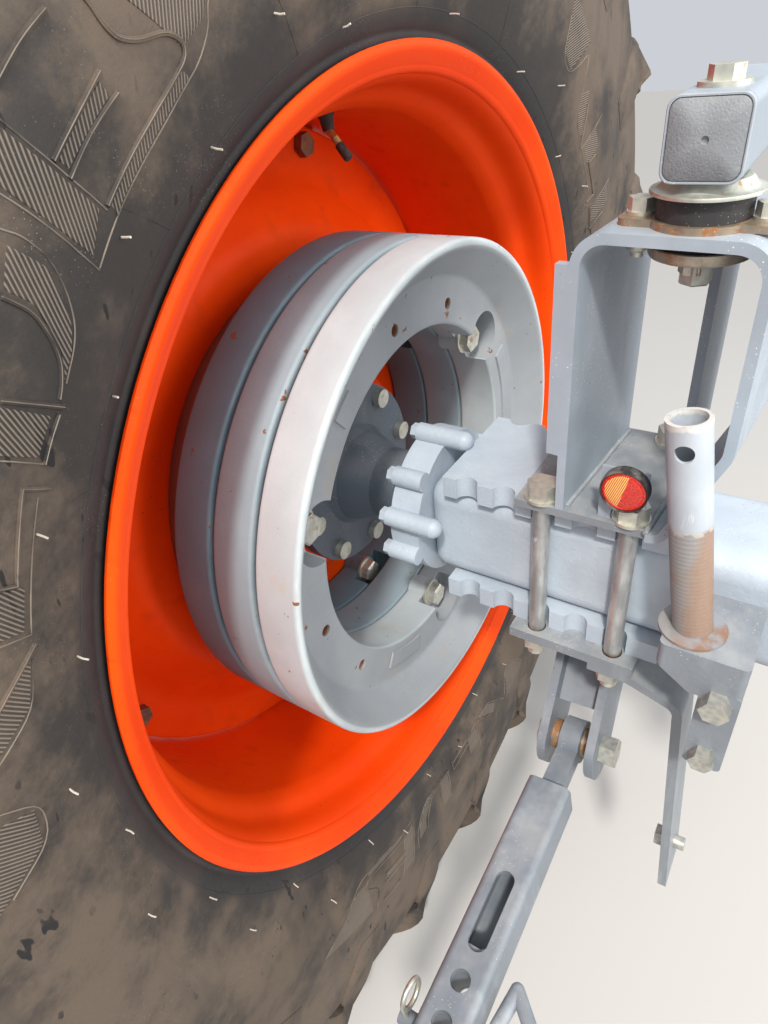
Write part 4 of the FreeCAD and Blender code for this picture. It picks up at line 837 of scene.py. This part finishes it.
def weld(start, end, up_at, radius):
    """A weld bead along a line, in overlapping scales."""
    steps = max(6, int((end - start).length / 0.0011))
    path, scale = [], []
    for k in range(steps + 1):
        wave = abs(math.sin(math.pi * k / 3.2))
        path.append(start.lerp(end, k / steps) + up_at * rng.uniform(-0.0003, 0.0003))
        scale.append(radius * (0.78 + 0.24 * wave + rng.uniform(-0.05, 0.05)))
    points, faces = sweep(path, ring_section(1.0, 8), [up_at] * len(path))
    scaled = []
    for k, at in enumerate(path):
        scaled += [at + (point - at) * scale[k] for point in points[k * 8:k * 8 + 8]]
    return scaled, faces


# Welds lie along the bracket's seams, which turn with it about its outboard rear corner
PIVOT = Vector((-0.084, 0.3465, 0.0))
BRACKET_TURN = Matrix.Rotation(math.radians(-4.0), 3, "Z")
BEAD_UP = Vector((0, 0.7, 0.7))
SEAMS = [((-0.078, 0.3475, 0.0905), (0.080, 0.3475, 0.0905)),
         ((-0.078, 0.3380, 0.0905), (0.080, 0.3380, 0.0905)),
         ((-0.0835, 0.263, 0.0905), (0.080, 0.263, 0.0905)),
         ((-0.0765, 0.3475, 0.150), (-0.0765, 0.3475, 0.308)),
         ((0.024, 0.2540, 0.0905), (0.080, 0.2540, 0.0905))]


def on_bracket(place):
    return PIVOT + BRACKET_TURN @ (Vector(place) - PIVOT)


welds = [weld(on_bracket(start), on_bracket(end), BEAD_UP, 0.0030) for start, end in SEAMS]
piece("bracket_welds", welds, "weld", "root", smooth_deg=60.0)

# The cab mount's lower cup is a dish with a turned-up lip, and a long nut hangs under it
dish_foot = MOUNT + Vector((0.0012, -0.0018, -0.0215))
dish = [(0.006, 0.0), (0.0315, 0.0), (0.0340, 0.0010), (0.0352, 0.0030), (0.0355, 0.0085), (0.0340, 0.0090),
        (0.0334, 0.0070), (0.0325, 0.0040), (0.0300, 0.0030), (0.006, 0.0030)]
piece("cup_dished", [turned_piece(dish, 56, dish_foot, UP)], "dish", "root", ("mount_lower_cup",))
long_nut = spindle([(-0.0010, 0.0112), (0.0010, 0.0118), (0.0185, 0.0118), (0.0200, 0.0102)],
                   dish_foot, DOWN, 6)
left_bolt = MOUNT + Vector((0.0029, 0.0419, -0.008))
bolt_end = spindle([(-0.001, 0.0080), (0.0120, 0.0080), (0.0135, 0.0068), (0.0140, 0.0048), (0.0175, 0.0046)],
                   left_bolt, DOWN, 24)
piece("mount_nuts", [long_nut, bolt_end], "cup", "root", smooth_deg=30.0)


def carved(part, cutters):
    """Cuts closed parts out of a closed part."""
    things = []
    for name, (points, faces) in (("blank", part), ("cutter", joined(cutters))):
        thing = bpy.data.objects.new(name, flat_mesh(name, points, faces))
        bpy.context.scene.collection.objects.link(thing)
        things.append(thing)
    cut = things[0].modifiers.new("cut", "BOOLEAN")
    cut.operation, cut.solver, cut.object = "DIFFERENCE", "EXACT", things[1]
    mesh = things[0].evaluated_get(bpy.context.evaluated_depsgraph_get()).to_mesh()
    result = [v.co.copy() for v in mesh.vertices], [tuple(face.vertices) for face in mesh.polygons]
    for thing in things:
        bpy.data.objects.remove(thing)
    return result


# Ring weights: dished castings that nest, each with three bolt pockets; the inner has pairs of lifting holes
WEIGHT_BORE, WEIGHT_RIM = 0.2000, 0.2926
RIM_EDGES = (0.4999, 0.5526, 0.6053, 0.6580)
BORE_EDGES = (0.5385, 0.5955, 0.6540, 0.7115)
BOLT_CIRCLE, HOLE_CIRCLE = 0.210, 0.2225
FIRST_BOLT = (39.0, 99.0, 39.0)
BOLT_SEAT = 0.0290       # the pocket's floor, behind the weight's face
LIFT_HOLES = [84.5 + 120 * step + half for step in range(3) for half in (-14.5, 14.5)]
FACE = BORE_EDGES[0]     # the inner weight's inboard face


def bolt_places(order, y):
    """The three bolts of a weight, at a distance along the axle."""
    return [on_wheel(BOLT_CIRCLE, FIRST_BOLT[order] + 120 * step, y) for step in range(3)]


def dished_ring(order):
    """One weight: a turned ring with its pockets cut and their floors set in."""
    near, far = BORE_EDGES[order], BORE_EDGES[order + 1] - 0.0008
    rim_near, rim_far = RIM_EDGES[order] + 0.0023, RIM_EDGES[order + 1] - 0.0023
    corners = [(WEIGHT_BORE, near), (0.2520, near), (0.2830, rim_near), (WEIGHT_RIM, rim_near),
               (WEIGHT_RIM, rim_far), (0.2830, rim_far), (0.2520, far), (WEIGHT_BORE, far)]
    blank = lathe(rounded_outline(corners, 0.0045, 4), 160)
    cutters = []
    for step in range(3):
        pocket = on_wheel(BOLT_CIRCLE + 0.002, FIRST_BOLT[order] + 120 * step, near - 0.06)
        cutters.append(spindle([(0, 0.034), (0.0875, 0.034), (0.0895, 0.032)], pocket, OUTBOARD, 48))
    if order == 0:
        for degrees in LIFT_HOLES:
            hole = on_wheel(HOLE_CIRCLE, degrees, near - 0.012)
            cutters.append(spindle([(0, 0.0066), (0.040, 0.0066)], hole, OUTBOARD, 20))
    ear = [(0, 0.0165), (0.0012, 0.0177), (far - near - BOLT_SEAT - 0.0005, 0.0177)]
    return [carved(blank, cutters)] + [spindle(ear, place, OUTBOARD, 36)
                                       for place in bolt_places(order, near + BOLT_SEAT)]


for order, (name, slot) in enumerate((("inner", "pale"), ("middle", "grey"), ("outer", "dark"))):
    name = "weight_" + name
    piece("dished_" + name, dished_ring(order), name, "wheel", (name,), 32.0)

thread = [(0.0064 - 0.0009 * (k % 2), 0.0012 * k) for k in range(16)] + [(0.0, 0.0186)]
threads = [turned_piece(thread, 16, on_wheel(HOLE_CIRCLE, degrees, FACE + 0.0015), OUTBOARD)
           for degrees in LIFT_HOLES]
piece("lifting_threads", threads, "rust", "wheel")

# Weight bolts: washer, six-sided head, its round top, shank, and a nut on the outer weight's three
WASHER = [(0, 0.0185), (-0.0004, 0.0200), (-0.0036, 0.0200), (-0.0040, 0.0192)]
HEAD = [(-0.0040, 0.0166), (-0.0050, 0.0173), (-0.0150, 0.0173), (-0.0168, 0.0150)]
HEAD_TURN = Vector((0.4, 0.0, 1.0))
HEAD_TOP = [(-0.0160, 0.0125), (-0.0172, 0.0112)]
SHANK = [(-0.002, 0.0100), (0.067, 0.0100), (0.069, 0.0088)]
NUT = [(0.0390, 0.0165), (0.0400, 0.0173), (0.0550, 0.0173), (0.0560, 0.0165)]
bolts = []
for order, near in enumerate(BORE_EDGES[:3]):
    for seat in bolt_places(order, near + BOLT_SEAT):
        bolts += [spindle(WASHER, seat, OUTBOARD, 40), spindle(HEAD, seat, OUTBOARD, 6, HEAD_TURN),
                  spindle(HEAD_TOP, seat, OUTBOARD, 24), spindle(SHANK, seat, OUTBOARD, 24)]
        if order == 2:
            bolts.append(spindle(NUT, seat, OUTBOARD, 6))
piece("long_weight_bolts", bolts, "cream", "wheel", ("weight_bolts",), 30.0)

# Wheel disc: pressed sheet, flat at the hub, standing back behind the weights and out again to its lugs
HUB_SEAT, SHEET = 0.6580, 0.0100
DISC = [(0.0762, 0.0), (0.1260, 0.0), (0.1620, 0.0540), (0.2950, 0.0540), (0.3500, 0.0970), (0.4050, 0.0970)]
near_side = [(r, HUB_SEAT + y) for r, y in DISC]
pressing = rounded_outline(near_side + [(r, y + SHEET) for r, y in reversed(near_side)], 0.014, 5)
piece("pressed_disc", [lathe(pressing, 160)], "rim", "wheel", ("wheel_disc",), 40.0)

# Blank raised pads beside the bore of the inner weight's face: radii and angles
PADS = ((0.2190, 0.2430, -8.0, 25.5), (0.2110, 0.2330, -122.0, -103.5), (0.2120, 0.2330, 122.5, 130.5))
PAD_FOOT, PAD_TOP = FACE + 0.001, FACE - 0.0024
pads = []
for low, high, first, last in PADS:
    section = [(low, PAD_FOOT), (low + 0.0008, PAD_TOP), (high - 0.0008, PAD_TOP), (high, PAD_FOOT)]
    points, faces = lathe(section, max(6, int(last - first)), True, first, last - first)
    faces += [(0, 1, 2, 3), tuple(reversed(range(len(points) - 4, len(points))))]
    pads.append((points, faces))
piece("weight_pads", pads, "weight_inner", "wheel")

# Every other construction piece keeps its shape and gets its finish
FINISHES = {
    "rim": ("rim_lugs",),
    "old_bolts": ("lug_bolts",),
    "hub": ("axle_shaft",),
    "housing": ("axle_housing", "bearing_cover"),
    "bracket": ("cab_bracket", "cab_bracket_rib", "cab_bracket_web", "cab_foot", "reflector_bracket"),
    "plate": ("upper_clamp_plate", "lower_clamp_plate", "strap"),
    "stabiliser": ("clevis", "stabiliser_eye", "stabiliser_tube", "stabiliser_inner", "locking_pin"),
    "casting": ("hitch_casting",),
    "post": ("post_tube",),
    "long_bolts": ("clamp_bolts",),
    "cream": ("hub_studs", "mount_centre_bolt", "mount_plate_bolts"),
    "zinc": ("hitch_bolts", "strap_bolt", "clevis_pin", "hairpin"),
    "rusty": ("mount_base_plate", "pin_spacers"),
    "rubber": ("mount_rubber",),
}
for finish, nodes in FINISHES.items():
    for node in nodes:
        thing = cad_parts[node]
        thing.data.materials.clear()
        thing.data.materials.append(materials[finish])

# Floor: a square under the tyre
FLOOR_Z = -TYRE_R - 0.0005
floor_mesh = flat_mesh("studio_floor", [(-12, -12, FLOOR_Z), (12, -12, FLOOR_Z), (12, 12, FLOOR_Z),
                                        (-12, 12, FLOOR_Z)], [(0, 1, 2, 3)])
floor = bpy.data.objects.new("studio_floor", floor_mesh)
bpy.context.scene.collection.objects.link(floor)
floor.data.materials.append(Finish("studio_floor").done((0.44, 0.43, 0.415), 0.85))

world = bpy.data.worlds.new("studio")
bpy.context.scene.world = world
world.use_nodes = True
sky = world.node_tree.nodes["Background"]
sky.inputs["Color"].default_value = (0.86, 0.90, 0.96, 1.0)
sky.inputs["Strength"].default_value = 0.70


def lamp(name, kind, place, target, energy, size, colour):
    """A lamp that points at a target; its size is in metres, or in degrees for the sun."""
    light = bpy.data.lights.new(name, kind)
    light.energy = energy
    light.color = colour
    if kind == "AREA":
        light.size = size
    else:
        light.angle = math.radians(size)
    thing = bpy.data.objects.new(name, light)
    bpy.context.scene.collection.objects.link(thing)
    thing.location = place
    thing.rotation_euler = (Vector(target) - Vector(place)).to_track_quat("-Z", "Y").to_euler()


lamp("sky_window", "AREA", (-1.7, -0.8, 2.5), (0.0, 0.45, 0.0), 60.0, 2.2, (1.0, 0.98, 0.95))
lamp("low_sun", "SUN", (-1.25, -0.1, 1.75), (0.0, 0.5, 0.0), 2.9, 5.0, (1.0, 0.95, 0.88))
lamp("wheel_fill", "AREA", (0.15, -1.4, 0.8), (0.0, 0.7, -0.1), 30.0, 1.4, (1.0, 0.97, 0.93))
lamp("back_fill", "AREA", (2.0, -1.0, 1.4), (0.0, 0.4, 0.0), 14.0, 2.0, (0.85, 0.92, 1.0))

# Camera solved from the photo: looks forward, outboard and down
AZIMUTH, ELEVATION, ROLL = math.radians(36.88), math.radians(-35.99), math.radians(7.307)
look = Vector((math.cos(ELEVATION) * math.cos(AZIMUTH), math.cos(ELEVATION) * math.sin(AZIMUTH),
               math.sin(ELEVATION)))
right = look.cross(UP).normalized()
down = look.cross(right)
image_right = right * math.cos(ROLL) + down * math.sin(ROLL)
image_down = down * math.cos(ROLL) - right * math.sin(ROLL)
turn = Matrix((image_right, -image_down, -look)).transposed()
camera = bpy.data.objects.new("camera", bpy.data.cameras.new("camera"))
bpy.context.scene.collection.objects.link(camera)
camera.matrix_world = Matrix.Translation((-0.5747, 0.1762, 0.4695)) @ turn.to_4x4()
camera.data.sensor_width = 36.0
camera.data.sensor_fit = "AUTO"
camera.data.lens = 23.497
camera.data.clip_start = 0.02
bpy.context.scene.camera = camera
bpy.context.scene.view_settings.view_transform = "Standard"
